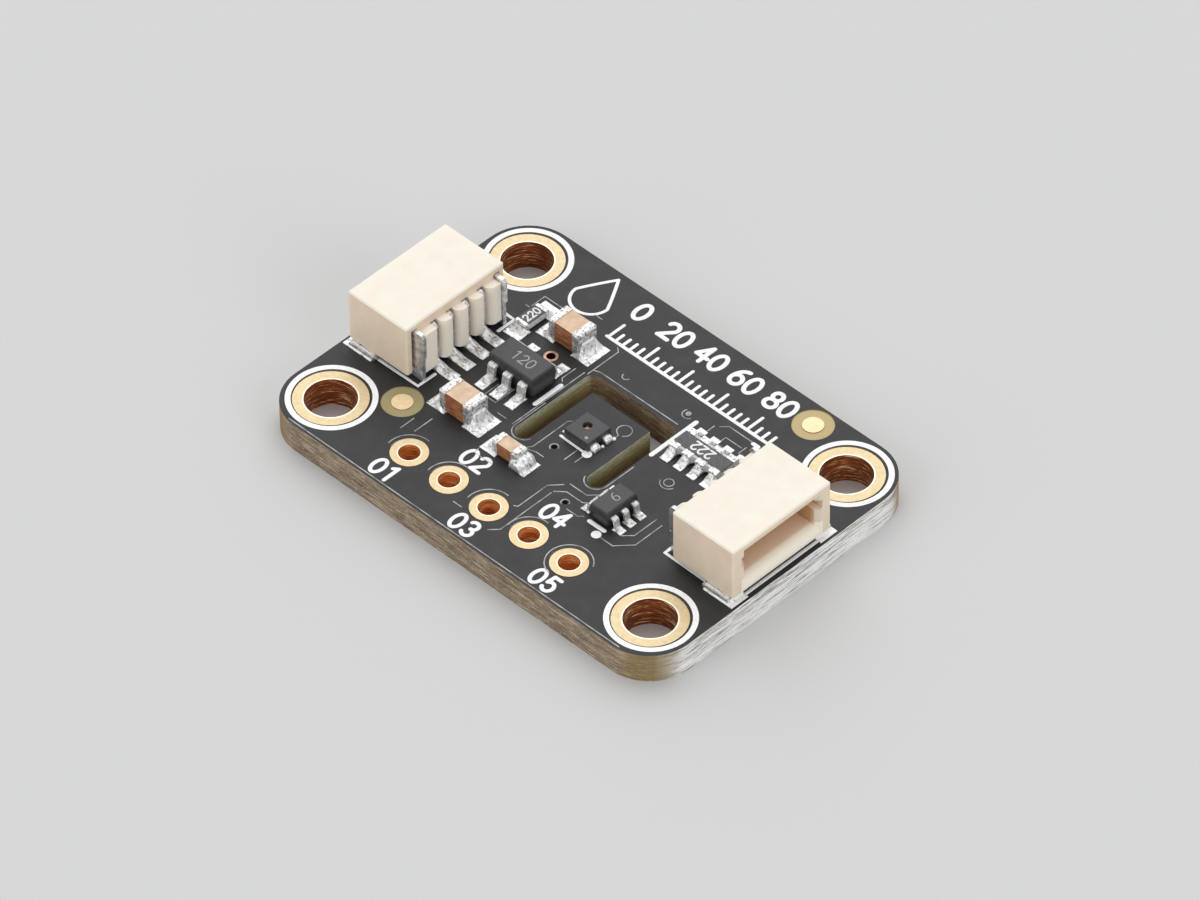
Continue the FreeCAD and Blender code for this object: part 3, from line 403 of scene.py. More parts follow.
def plated(name, distance, rim, land, barrel, metal=0.85):
    """Plating: a land of two shades with a painted highlight out to a rim radius, and a wall of
    five shades.
    """
    made, tree, shader, mm = material(name)
    flat = reckon(tree, "GREATER_THAN", facing(tree)["Z"], 0.5)
    grain = noise(tree, mm, 4.5, 4.0)
    face = ramp(tree, grain, [(0.3, land[0]), (0.7, land[1])])
    # Drill rings every 0.07 mm down the wall, broken up along their length.
    rings = noise(tree, mm, (1.3, 1.3, 15.0), 5.0, 0.65)
    whole = mix(tree, flat, ramp(tree, rings, list(zip(BARREL_PLACES, barrel))), face)
    near = reckon(tree, "LESS_THAN", distance(tree, split(tree, mm)), rim)
    # A near-white ring round the hole on the flat land is a painted highlight.
    whole = mix(tree, both(tree, near, flat), whole, colour("#F6F0E0"))
    feed(shader, {"Base Color": whole, "Metallic": pick(tree, flat, 0.35, metal),
                  "Roughness": pick(tree, flat, 0.3, 0.48),
                  "Normal": bump(tree, pick(tree, flat, rings, grain), 0.012, 0.8)})
    return made


GOLD = ("#D0BB95", "#DBC9A4")
# The brightest colours of each wall are painted glints. The header wall is the same copper painted
# brighter, as painted light.
WIDE_WALL_WITH_GLINTS = ("#3C1606", "#8A4417", "#BC6E30", "#FFD698", "#FFF3D6")
NARROW_WALL_PAINTED_BRIGHT = ("#8A4A22", "#E58E48", "#FFB868", "#FFE4B0", "#FFFFF2")
VIA_WALL_PAINTED_SHADE = ("#140C08", "#26160D", "#3E2416", "#5E3C28", "#8A6A50")
# Gold over copper: a warm soft mirror, with a whiter rim at the hole's edge painted as a highlight.
give(plated("gilt_mounting_land", from_corner_hole, 1.315, GOLD, WIDE_WALL_WITH_GLINTS), "mounting_ring")
give(plated("gilt_header_land", from_header_hole, 0.567, GOLD, NARROW_WALL_PAINTED_BRIGHT), "header_ring")
# The marks' gold is thin and dulled by flux: it reads as an even pale yellow from every side.
give(plated("gilt_mark", from_corner_hole, 0.0, ("#F6D9A6", "#FFE7BF"), WIDE_WALL_WITH_GLINTS, 0.3),
     "front_fiducial", "back_fiducial")
# The open via was never gilded: pinkish copper round a hole too narrow for light, its wall painted
# near black as painted shade.
give(plated("bare_copper_via", from_corner_hole, 0.0, ("#A9806A", "#DCBBA4"), VIA_WALL_PAINTED_SHADE), "via_ring")

# %% [markdown]
# ## Ivory nylon
# The socket housings are injection-moulded nylon in its natural ivory. The mould leaves a fine
# matt texture. Light goes a little way into the resin and comes out warmer, and subsurface
# scattering over half a millimetre gives some of that. The tan inside of the mouth is painted
# shade, and tops, ribs and lip are painted lighter than the sides, as painted light.

# %% Nylon: outer faces, ribs and lip
nylon, tree, shader, mm = material("moulded_ivory_nylon", Roughness=0.5, IOR=1.53,
                                   Subsurface_Weight=0.35, Subsurface_Radius=(1.0, 0.55, 0.3),
                                   Subsurface_Scale=0.6 * MM)
RIBS_END, MOUTH_BACK, LIP_START = 8.3, 8.5, 11.6    # from the board's middle, along X
HALF_MOUTH, LIP_TOP = 2.62, 2.75    # along Y, and up
MOUTH_MIDDLE, MOUTH_RISE = 3.55, 0.96    # its height at mid mouth, and from there to its roof
place, normal = split(tree, mm), facing(tree)
x_size, y_size = reckon(tree, "ABSOLUTE", place["X"]), reckon(tree, "ABSOLUTE", place["Y"])
mottle = noise(tree, mm, 1.2, 5.0)
# The same ivory twice: lighter on tops and darker on sides, as painted light and shade.
lit_top_ivory = ramp(tree, mottle, [(0.3, "#F0E6D7"), (0.7, "#F4ECDF")])
shaded_side_ivory = ramp(tree, mottle, [(0.3, "#E6D3BB"), (0.7, "#ECDCC6")])
ivory = mix(tree, fade(tree, normal["Z"], 0.2, 0.7), shaded_side_ivory, lit_top_ivory)
# The ribs are painted lighter, as painted light.
on_ribs = reckon(tree, "LESS_THAN", x_size, RIBS_END)
ivory = mix(tree, on_ribs, ivory, colour("#FFF0DF"))
between_cheeks = reckon(tree, "LESS_THAN", y_size, HALF_MOUTH)
# The lip of the mouth is painted lighter still, as painted light.
on_lip = both(tree, reckon(tree, "GREATER_THAN", x_size, LIP_START),
              reckon(tree, "LESS_THAN", place["Z"], LIP_TOP), between_cheeks)
ivory = mix(tree, on_lip, ivory, colour("#FFF2E0"))
print("ivory:", len(tree.nodes), "nodes")

# %% Nylon: mouth
# Behind the lip, between the cheeks and above the floor, light has gone round and come back tan:
# this is painted shade, deeper further in, and browner where a cheek shades it.
mouth = both(tree, fade(tree, x_size, 12.05, 11.7),
             reckon(tree, "GREATER_THAN", x_size, MOUTH_BACK), between_cheeks,
             reckon(tree, "COMPARE", place["Z"], MOUTH_MIDDLE, MOUTH_RISE))
painted_mouth_shade = ramp(tree, fade(tree, x_size, 12.0, 10.9), [(0.0, "#F8E4CE"), (1.0, "#E9C8A6")])
cheek = reckon(tree, "GREATER_THAN", reckon(tree, "ABSOLUTE", normal["Y"]), 0.5)
painted_mouth_shade = mix(tree, cheek, painted_mouth_shade, colour("#CFA27A"))
feed(shader, {"Base Color": mix(tree, mouth, ivory, painted_mouth_shade),
              "Normal": bump(tree, noise(tree, mm, 14.0, 3.0), 0.006)})
give(nylon, "left_socket_housing", "right_socket_housing")

# %% [markdown]
# ## Tin, leads and solder
# Contacts, anchors, leads and end caps are all tinned, but each in its own way. The contacts are
# stamped from sheet and show its sheared, finely lined edges; the anchors show its rolled face,
# smoother and with broad soft reflections. A lead frame is duller. A fired end cap is grainy and a
# little porous, with dark pits. Reflowed solder has run and set with a wrinkled, bright skin, and
# where it floods the wide anchor lands it froze frosty, nearly white from every side.

# %% Metal materials
# Tin on sheared sheet: fine lines across, so reflections break into short bright dashes.
sheet_tin = grained("tinned_sheet", [(0.3, "#B1B0AE"), (0.5, "#DBDAD8"), (0.66, "#FFFFFD")],
                    0.12, 0.016, (1, 1, 2), Metallic=0.85, Roughness=0.38)
# Dipped lead frame: the tin froze uneven, so a lead shows a soft broken highlight.
lead_tin = grained("tinned_lead_frame", [(0.3, "#B9B9B7"), (0.48, "#E1E0DE"), (0.65, "#FFFFFD")],
                   0.14, 0.016, Metallic=0.6, Roughness=0.42)
# Silver paste, fired and plated: porous, so dark pits speckle a pale grey.
cap_tin = grained("fired_end_cap", [(0.34, "#838381"), (0.44, "#CCCBC9"), (0.62, "#FBFAF8")],
                  0.13, 0.018, Metallic=0.7, Roughness=0.45)
# Solder that ran and set: its wrinkles throw the soft lamp back as bright flecks.
wet_solder = grained("reflowed_solder", [(0.3, "#949493"), (0.42, "#E2E2E1"), (0.54, "#FFFFFE")],
                     0.2, 0.05, (1, 1.6, 1), Metallic=0.5, Roughness=0.3)
# Solder that froze slowly on a wide land: tiny crystals scatter light, so it looks like frost.
frosty_solder = grained("frosted_solder", [(0.3, "#9D9D9C"), (0.41, "#F4F4F3"), (0.5, "#FFFFFE")],
                        0.2, 0.05, (1, 1.6, 1), Metallic=0.1, Roughness=0.4)
# Tin on the rolled face of the sheet: smoother, with long soft reflections.
anchor_tin = grained("rolled_anchor_tin", [(0.32, "#B0B2B4"), (0.5, "#D9DADB"), (0.68, "#FFFFFE")],
                     0.3, 0.03, Metallic=0.85, Roughness=0.3)
give(sheet_tin, "left_socket_contact", "right_socket_contact")
give(anchor_tin, ends=("_anchor",))
give(lead_tin, "regulator_lead", "level_shifter_lead")
give(cap_tin, ends=("_terminals",))

# %% [markdown]
# ## Epoxy packages and ceramics
# Moulding compound is epoxy full of fine silica: nearly black with a matt grain. A capacitor is
# fired ceramic, painted tan on its top and browner on the sawn sides, as painted light and shade;
# level bands on the sides are where the dicing went through the inner layers. A chip resistor is
# white alumina under dark glass. The film at the bottom of the sensor's opening is a thin coppery
# metal.

# %% Package materials
# Moulded in a spark-eroded tool: an even fine grain that greys the black a little.
epoxy = grained("moulded_black_epoxy", [(0.35, "#2F2F31"), (0.7, "#404042")], 0.08, 0.01,
                Roughness=0.48, IOR=1.55)
# Fired and snapped along a score: chalky white.
alumina = grained("white_alumina", [(0.3, "#B9B9B6"), (0.7, "#E4E4E1")], 0.1, 0.006, Roughness=0.55)
# Screened and fired glass: smoother than the epoxy, with a softer and wider highlight.
glaze = grained("dark_glass_coat", [(0.35, "#414143"), (0.7, "#565658")], 0.12, 0.008,
                Roughness=0.4)
# Metal film laid on in a vacuum: its few pale coppery sparks are painted highlights.
film = grained("copper_sensing_film", [(0.4, "#8A5238"), (0.62, "#F0B69A")], 0.06, 0.004,
               Metallic=0.6, Roughness=0.35)

# Sawn through its layers: level bands at the sides. Brown sides and a plain tan top are painted
# shade and light on one ceramic.
titanate, tree, shader, mm = material("sawn_tan_ceramic", Roughness=0.5)
layers = noise(tree, stretch(tree, mm, (1, 1, 5)), 2.5, 5.0)
lit_top_tan = ramp(tree, layers, [(0.3, "#D2B08F"), (0.7, "#E6CBB0")])
shaded_side_brown = ramp(tree, layers, [(0.3, "#7A472B"), (0.5, "#A06440"), (0.72, "#C98F66")])
upper = reckon(tree, "GREATER_THAN", facing(tree)["Z"], 0.5)
feed(shader, {"Base Color": mix(tree, upper, shaded_side_brown, lit_top_tan),
              "Normal": bump(tree, layers, 0.02)})

give(epoxy, "regulator_body", "level_shifter_body", "sensor_package")
give(titanate, "rear_capacitor_body", "front_capacitor_body", "small_capacitor_body")
give(alumina, "resistor_body", "resistor_array_body")
give(glaze, ends=("_coat",))
give(film, "sensor_element")

# %% [markdown]
# ## Drawing on the board
# The legend is ink, screened on in a film about a hundredth of a millimetre thick. A line starts
# as a curve with a round section, becomes a mesh, and is pressed flat. What is finished gets its
# place baked into its mesh, a material, and a ride on the board.

# %% Ink, and helpers that finish a piece
INK = 0.012
# Ink pressed through a screen: matt and very white, with the mesh's faint unevenness.
ink = grained("screened_white_ink", [(0.3, "#F3F3F2"), (0.55, "#FFFFFF")], 0.15, 0.002,
              Roughness=0.55)
print("ink film", INK, "mm")


def alone(piece):
    """Selects one object and nothing else."""
    bpy.ops.object.select_all(action="DESELECT")
    piece.select_set(True)
    bpy.context.view_layer.objects.active = piece
    return piece


def join(pieces):
    """Makes one object of several."""
    alone(pieces[0])
    for piece in pieces[1:]:
        piece.select_set(True)
    if len(pieces) > 1:
        bpy.ops.object.join()
    return bpy.context.object


def settle(piece, name, made):
    """Bakes a finished object's place into its mesh, names it and hangs it on the board."""
    alone(piece)
    bpy.ops.object.transform_apply(location=True, rotation=True, scale=True)
    piece.name = piece.data.name = name
    piece.data.materials.clear()
    piece.data.materials.append(made)
    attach(piece, "root")
    print(name, len(piece.data.polygons), "faces")
    return piece


# %% Helpers for lines
# How far a round end reaches past the last point and its radius there, in half widths.
ROUND_END = ((0.5, 0.87), (0.87, 0.5), (1.0, 0.15))
ARC_STEP = 12    # degrees


def stroke(points, width, height, low=TOP):
    """A line with round ends through points in millimetres, pressed flat to its film height."""
    spots = [(Vector(point), 1.0) for point in points]
    for _ in range(2):    # the far end, then the near one
        spots.reverse()
        onward = (spots[-1][0] - spots[-2][0]).normalized() * width / 2
        spots += [(spots[-1][0] + onward * past, radius) for past, radius in ROUND_END]
    curve = bpy.data.curves.new("stroke", "CURVE")
    curve.dimensions = "3D"
    curve.bevel_depth = width / 2 * MM
    curve.bevel_resolution = 2
    curve.use_fill_caps = True
    line = curve.splines.new("POLY")
    line.points.add(len(spots) - 1)
    for point, (spot, radius) in zip(line.points, spots):
        point.co = (spot.x * MM, spot.y * MM, 0.0, 1.0)
        point.radius = radius
    piece = bpy.data.objects.new("stroke", curve)
    bpy.context.scene.collection.objects.link(piece)
    alone(piece)
    bpy.ops.object.convert(target="MESH")
    piece = bpy.context.object
    piece.scale.z = height / (width / 2)
    piece.location.z = low
    bpy.ops.object.transform_apply(location=True, rotation=True, scale=True)
    return piece


def arc(x, y, radius, first, last, height=1.0):
    """Points along an arc for a stroke, a step or so apart, round or stretched in height."""
    turns = max(2, round(abs(last - first) / ARC_STEP))
    angles = [math.radians(first + (last - first) * n / turns) for n in range(turns + 1)]
    return [(x + radius * math.cos(a), y + radius * height * math.sin(a)) for a in angles]


print("a quarter arc has", len(arc(0, 0, 1, 0, 90)), "points")


# %% Helpers for rings and dots
RING_POINTS, DOT_POINTS = 72, 32
DOT_INSET, DOT_BEVEL = 0.12, 0.3    # of the radius, and of the height


def flat_ring(x, y, inner, outer, height):
    """A ring: a circle of edges, extruded inwards and then up."""
    bpy.ops.object.select_all(action="DESELECT")
    bpy.ops.mesh.primitive_circle_add(vertices=RING_POINTS, radius=outer * MM,
                                      location=(x * MM, y * MM, TOP))
    piece = bpy.context.object
    bpy.ops.object.mode_set(mode="EDIT")
    bpy.ops.mesh.select_all(action="SELECT")
    bpy.ops.mesh.extrude_edges_move()
    bpy.ops.transform.resize(value=(inner / outer, inner / outer, 1.0))
    bpy.ops.mesh.select_all(action="SELECT")
    bpy.ops.mesh.extrude_region_move(TRANSFORM_OT_translate={"value": (0, 0, height * MM)})
    bpy.ops.mesh.select_all(action="SELECT")
    bpy.ops.mesh.normals_make_consistent(inside=False)
    bpy.ops.object.mode_set(mode="OBJECT")
    return piece


def dot(x, y, radius, height, low=TOP):
    """A printed dot: a disc with a bevelled upper rim."""
    bpy.ops.object.select_all(action="DESELECT")
    bpy.ops.mesh.primitive_cylinder_add(vertices=DOT_POINTS, radius=radius * MM,
                                        depth=height * MM,
                                        location=(x * MM, y * MM, low + height / 2 * MM))
    bpy.ops.object.mode_set(mode="EDIT")
    bpy.ops.mesh.select_all(action="DESELECT")
    bpy.ops.mesh.select_mode(type="FACE")
    piece = bpy.context.object
    bpy.ops.object.mode_set(mode="OBJECT")
    for face in piece.data.polygons:
        face.select = face.normal.z > 0.5
    bpy.ops.object.mode_set(mode="EDIT")
    bpy.ops.mesh.inset(thickness=radius * DOT_INSET * MM)
    bpy.ops.transform.translate(value=(0, 0, height * DOT_BEVEL * MM))
    bpy.ops.mesh.select_mode(type="VERT")
    bpy.ops.object.mode_set(mode="OBJECT")
    return piece


# %% Rings, bars and brackets
# The legend was screened a little out of register, so the white rings sit off their holes.
RING_SHIFT, RING_INNER, RING_OUTER = 0.05, 1.87, 2.14
rings = [flat_ring(x * HOLE_X, y * HOLE_Y + RING_SHIFT, RING_INNER, RING_OUTER, INK)
         for x in (-1, 1) for y in (-1, 1)]
settle(join(rings), "print_rings", ink)

# Points and width of each line, then place, radius and height of each dot.
BARS = [
    ([(-3.2, -0.15), (-3.2, 1.5)], 0.26), ([(2.92, 1.15), (2.92, 4.05)], 0.25),
    ([(3.9, -3.83), (4.8, -3.83)], 0.25), ([(-10.4, -3.03), (-7.87, -3.03), (-7.87, -1.95)], 0.2),
    ([(-8.4, 3.12), (-7.8, 3.12), (-7.8, 2.1)], 0.2),
    ([(10.3, -2.93), (7.75, -2.93), (7.75, -2.5)], 0.2), ([(5.75, 4.85), (6.05, 4.85)], 0.22),
    ([(-0.9, -0.82), (0.75, -0.86)], 0.15), ([(12.14, -2.3), (12.14, 2.3)], 0.2),
]
DOTS = [(4.72, -4.25, 0.24, INK), (0.8, -0.86, 0.24, INK), (0.98, -0.03, 0.08, INK * 4),
        (1.0, 0.68, 0.1, INK * 4)]
bars = [stroke(points, width, INK) for points, width in BARS] + [dot(*each) for each in DOTS]
settle(join(bars), "print_outlines", ink)

# %% [markdown]
# ## Numbers and a plain sign
# Numbers mark the five pins, a ruled scale runs along the far side, and the outline of a water
# drop says what the module measures. Each figure is a few strokes with round ends, the way a
# legend is plotted, so every stroke is a small closed solid.

# %% Figures
# The strokes of each figure, in a box one unit high. A loop runs a little past its own start.
FIGURES = {
    "0": [arc(0, 0, 0.29, 80, 449, 1.72)],
    "1": [[(-0.17, 0.33), (0.05, 0.5)], [(0.05, 0.5), (0.05, -0.5)]],
    "2": [arc(0, 0.22, 0.27, 160, -35, 1.04), [(0.22, 0.06), (-0.27, -0.5)],
          [(-0.27, -0.5), (0.29, -0.5)]],
    "3": [arc(0, 0.25, 0.25, 150, -85), arc(0, -0.24, 0.28, 85, -150, 0.93)],
    "4": [[(0.12, -0.5), (0.12, 0.5)], [(0.12, 0.5), (-0.3, -0.17)],
          [(-0.3, -0.17), (0.32, -0.17)]],
    "5": [[(0.24, 0.5), (-0.17, 0.5)], [(-0.17, 0.5), (-0.22, 0.04)],
          arc(0, -0.18, 0.28, 140, -150, 1.14)],
    "6": [arc(0, -0.2, 0.28, 85, 454, 1.07), arc(0.25, -0.2, 0.53, 95, 178, 1.32)],
    "8": [arc(0, 0.26, 0.23, 80, 449, 1.04), arc(0, -0.24, 0.29, 80, 449, 0.9)],
}
PITCH = 0.82    # from one figure to the next, in heights


def figure(digits, x, y, height, weight, film=INK, low=TOP, turn=0.0):
    """Figures centred on a place, each stroke as wide as the weight."""
    spin = Matrix.Rotation(math.radians(turn), 2)
    lines = []
    for number, digit in enumerate(digits):
        shift = Vector(((number - (len(digits) - 1) / 2) * PITCH, 0))
        for line in FIGURES[digit]:
            spots = [Vector((x, y)) + spin @ ((Vector(spot) + shift) * height) for spot in line]
            lines.append(stroke(spots, weight, film, low))
    return join(lines)


# The numbers stand by turns before and behind the row of holes.
BEFORE, BEHIND = -7.92, -4.66
PIN_HEIGHT, PIN_WEIGHT = 0.95, 0.21
PINS = [("01", -5.08, BEFORE), ("02", -2.54, BEHIND), ("03", 0.0, BEFORE), ("04", 2.54, BEHIND),
        ("05", 5.08, BEFORE)]
numbers = [figure(digits, x, y, PIN_HEIGHT, PIN_WEIGHT) for digits, x, y in PINS]
settle(join(numbers), "print_pin_numbers", ink)

# %% Scale and drop
FIRST, STEP, COUNT = -3.9, 0.44, 24
SCALE_FOOT, SHORT_TICK, LONG_TICK, SCALE_FIGURES = 5.3, 5.85, 6.35, 7.55    # along Y
THIN, FOOT_WIDTH, OVERHANG = 0.17, 0.19, 0.08
SCALE_HEIGHT, SCALE_WEIGHT = 1.07, 0.24
ticks = [stroke([(FIRST + STEP * n, SCALE_FOOT),
                 (FIRST + STEP * n, LONG_TICK if n % 5 == 0 else SHORT_TICK)], THIN, INK)
         for n in range(COUNT)]
foot = [(FIRST - OVERHANG, SCALE_FOOT), (FIRST + STEP * (COUNT - 1) + OVERHANG, SCALE_FOOT)]
ticks.append(stroke(foot, FOOT_WIDTH, INK))
ticks += [figure(str(20 * n), FIRST + 5 * STEP * n, SCALE_FIGURES, SCALE_HEIGHT, SCALE_WEIGHT)
          for n in range(5)]
settle(join(ticks), "print_scale", ink)

# Half a circle below, drawn out to a point above.
DROP_X, DROP_Y, DROP_RADIUS = -6.2, 6.55, 1.015
TAPER, TALLER = 0.45, 0.75
outline = []
for turn in range(90, -271, -6):
    rise = max(0.0, math.sin(math.radians(turn)))
    outline.append((DROP_X + DROP_RADIUS * math.cos(math.radians(turn)) * (1 - rise) ** TAPER,
                    DROP_Y + DROP_RADIUS * math.sin(math.radians(turn)) * (1 + TALLER * rise)))
settle(stroke(outline, THIN, INK), "print_drop", ink)

# %% [markdown]
# ## Tracks under the mask
# Copper tracks have a thickness, so the mask steps over their edges, and each step shows as a
# hair of light. They are drawn as very low ridges that follow the same routes, painted pale as a
# painted highlight. Filled vias show as small rings or pimples in the same way.

# %% Track edges
RIDGE, RIDGE_RISE = 0.06, 0.016
# The lacquer pulls thin over a copper edge and catches the lamp there: the pale line is a painted
# highlight.
track_edge_highlight = grained("painted_track_edge_highlight", [(0.35, "#80807F"), (0.6, "#C2C2C0")], 0.5, 0.002,
                     Roughness=0.35)
TRACKS = [
    [(-10.6, -8.6), (10.4, -8.6)], [(-3.02, 2.85), (-3.02, -1.8)],
    [(-2.85, 3.25), (-2.5, 3.38), (2.4, 3.38)],
    [(-1.17, 0.22), (-1.32, 0.05), (-1.32, -2.2), (-1.5, -2.45)],
    [(0.3, -1.0), (0.3, -1.8)], [(0.77, -1.0), (0.77, -1.6)],
    [(1.6, -2.75), (2.65, -2.75), (3.05, -2.35)],
    [(1.4, -3.6), (1.85, -3.22), (2.85, -3.22), (3.07, -3.05), (3.07, -1.5)],
    [(0.9, -3.55), (1.42, -2.98)],
    [(6.0, -1.7), (6.0, -3.1), (5.6, -3.5)],
    [(6.45, -1.8), (6.45, -3.5), (5.75, -4.25), (4.95, -4.25)],
    [(2.6, -4.0), (3.3, -4.0), (3.5, -3.8)],
    [(3.9, 4.6), (4.2, 4.9), (5.65, 4.9)], [(4.57, 4.0), (4.57, 4.28), (5.55, 4.28)],
    [(3.68, 4.0), (3.68, 4.45)], [(-6.5, -4.65), (-6.5, -5.5)], [(-5.88, -4.1), (-5.88, -5.2)],
    [(0.92, -3.6), (0.92, -5.4), (0.75, -5.5)], [(1.38, -3.75), (1.38, -7.0), (1.0, -7.4)],
    [(-1.4, -7.2), (-0.9, -7.2)], [(-5.35, 5.92), (-4.9, 5.92)],
    [(-7.87, 4.35), (-7.87, 5.2), (-6.75, 5.2)], [(-4.0, -1.75), (-3.5, -1.75)],
    arc(-2.3, -1.73, 0.6, 180, 340), arc(2.3, -1.73, 0.6, 200, 360),
    [(-2.9, 0.2), (-2.9, -1.73)], [(2.9, 0.0), (2.9, -1.73)],
    arc(0.97, 1.4, 0.36, -60, 240) + [(0.97, 1.0), (0.97, 0.55)],
    arc(4.75, 0.4, 0.42, 200, 340), arc(4.75, 0.4, 0.24, 0, 350), arc(2.3, 4.2, 0.3, 150, 330),
    arc(-0.6, -1.55, 0.21, 20, 250), arc(2.27, -3.75, 0.2, 20, 250), arc(-1.45, 4.0, 0.2, 180, 350),
    *(arc(-5.08 + PIN_PITCH * number, -HOLE_Y, 1.14, 85, 190) for number in range(4)),
    arc(5.08, -HOLE_Y, 1.12, 30, 260),
    [(-3.5, 2.75), (-3.5, 1.9), (-3.35, 1.75)], [(-2.85, 2.9), (-2.85, 4.9), (-3.1, 5.1)],
    [(-8.1, 4.2), (-7.9, 4.2)], [(5.7, 3.95), (5.7, 4.45)],
    [(-4.55, -0.1), (-4.55, -1.35), (-5.3, -1.35), (-5.3, -0.4)],
    [(-3.0, -4.0), (-2.95, -4.3), (-1.9, -4.3)], [(-1.55, -2.55), (-0.95, -2.35), (-0.5, -2.35)],
]
ridges = [stroke(points, RIDGE, RIDGE_RISE) for points in TRACKS]
ridges.append(dot(2.3, 4.2, 0.14, 0.03))
settle(join(ridges), "track_edges", track_edge_highlight)

# Two vias by the sensor have only sunk lacquer in them, which stays in its own shade: each is a
# near-black dot of painted shade.
PIT_FILM = 0.006
pit_painted_shade = grained("painted_via_pit_shade", [(0.35, "#060606"), (0.6, "#101011")], 0.1, 0.002,
                    Roughness=0.9, IOR=1.1)
pits = [dot(-0.6, -1.55, 0.13, PIT_FILM), dot(2.27, -3.75, 0.12, PIT_FILM)]
settle(join(pits), "via_pits", pit_painted_shade)

# %% [markdown]
# ## Solder joints
# Molten solder wets a land, climbs the metal that stands in it and sets in a hollow curve, steep
# at the metal and thin at the rim. A fine grid the size of the land is the start. The points under
# the terminal are lifted with proportional editing, whose sharp falloff draws that same hollow
# curve, and the rim is extruded down to the board and closed. Lands and footprints follow the
# packed terminals, and each lift and reach is what the joint in the picture shows.

# %% Helpers for stretches
def span(side, centre, near, far):
    """The stretch between two distances from a centre, on the side -1 or 1."""
    return sorted((centre + side * near, centre + side * far))


def around(centre, half):
    """The stretch that lies evenly about a centre."""
    return centre - half, centre + half


print("from 7.3 to 8.3 mm left of the middle:", span(-1, 0, 7.3, 8.3))

# %% Helpers for solder
FILM, GRID = 0.03, 0.045    # thickness at the rim, and the width of a grid square
CLEAR = 0.002    # keeps the flat underside off the board's own face


def solder_joint(land, *climbs):
    """Solder on a land (x0, x1, y0, y1). A climb is a footprint, its lift, reach and falloff."""
    x0, x1, y0, y1 = land
    bpy.ops.object.select_all(action="DESELECT")
    bpy.ops.mesh.primitive_grid_add(
        x_subdivisions=max(6, round((x1 - x0) / GRID)),
        y_subdivisions=max(6, round((y1 - y0) / GRID)), size=1.0,
        location=((x0 + x1) / 2 * MM, (y0 + y1) / 2 * MM, TOP + FILM * MM))
    piece = bpy.context.object
    piece.scale = ((x1 - x0) * MM, (y1 - y0) * MM, 1.0)
    bpy.ops.object.transform_apply(location=True, rotation=False, scale=True)
    for (a, b, c, d), lift, far, falloff in climbs:
        bpy.ops.object.mode_set(mode="EDIT")
        bpy.ops.mesh.select_all(action="DESELECT")
        bpy.ops.object.mode_set(mode="OBJECT")
        for vertex in piece.data.vertices:
            vertex.select = a <= vertex.co.x / MM <= b and c <= vertex.co.y / MM <= d
        bpy.ops.object.mode_set(mode="EDIT")
        bpy.ops.transform.translate(value=(0, 0, lift * MM), use_proportional_edit=True,
                                    proportional_edit_falloff=falloff, proportional_size=far * MM)
        bpy.ops.object.mode_set(mode="OBJECT")
    bpy.ops.object.mode_set(mode="EDIT")
    bpy.ops.mesh.select_all(action="DESELECT")
    bpy.ops.mesh.select_non_manifold()
    bpy.ops.mesh.extrude_edges_move()
    bpy.ops.transform.resize(value=(1.0, 1.0, 0.0), center_override=(0.0, 0.0, TOP + CLEAR * MM))
    bpy.ops.mesh.edge_face_add()
    bpy.ops.mesh.select_all(action="SELECT")
    bpy.ops.mesh.normals_make_consistent(inside=False)
    bpy.ops.mesh.faces_shade_smooth()
    bpy.ops.object.mode_set(mode="OBJECT")
    return piece


def solder_group(name, joints, *nodes, made=wet_solder):
    """Joins joints into one piece that stands for the plain solder nodes of the frame."""
    piece = settle(join([solder_joint(*each) for each in joints]), name, made)
    if nodes:
        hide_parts(*nodes)
    highest = max(vertex.co.z for vertex in piece.data.vertices)
    print(name, "rises", round((highest - TOP) / MM, 2), "mm above the board")


# %% Solder of the sockets
LAND_START, TAIL_START, HEEL_START, TAIL_END = 6.93, 7.3, 8.05, 8.26
joints, flooded = [], []
for side in (-1, 1):
    for number in range(4):
        y = number - 1.5    # the contacts stand 1 mm apart
        tail = (*span(side, 0, TAIL_START, TAIL_END), *around(y, 0.05))
        heel = (*span(side, 0, HEEL_START, TAIL_END), *around(y, 0.12))
        land = (*span(side, 0, LAND_START, TAIL_END), *around(y, 0.3))
        joints.append((land, (tail, 0.2, 0.34, "SHARP"), (heel, 0.3, 0.55, "SHARP")))
    for end in (-1, 1):
        land = (*span(side, 0, 10.57, 12.37), *span(end, 0, 2.35, 3.42))
        foot = (*span(side, 0, 10.5, 12.0), *span(end, 0, 2.35, 3.28))
        flooded.append((land, (foot, 0.21, 0.16, "SMOOTH")))
solder_group("socket_joints", joints, "socket_solder")
solder_group("anchor_joints", flooded, made=frosty_solder)

# %% Solder of the two packages
REGULATOR_Y, SHIFTER_X = 0.7, 4.3
REGULATOR_LEADS = ((-5.82, -1), (-4.87, -1), (-3.92, -1), (-5.82, 1), (-3.92, 1))
SHIFTER_LEADS = (-3.35, -2.7, -2.05)
joints = []
for x, side in REGULATOR_LEADS:
    land = (*around(x, 0.28), *span(side, REGULATOR_Y, 0.9, 1.9))
    foot = (*around(x, 0.2), *span(side, REGULATOR_Y, 1.0, 1.42))
    joints.append((land, (foot, 0.12, 0.3, "SHARP")))
for y in SHIFTER_LEADS:
    for side in (-1, 1):
        land = (*span(side, SHIFTER_X, 0.72, 1.26), *around(y, 0.21))
        foot = (*span(side, SHIFTER_X, 0.8, 1.09), *around(y, 0.13))
        joints.append((land, (foot, 0.1, 0.2, "SHARP")))
solder_group("package_joints", joints, "package_solder")

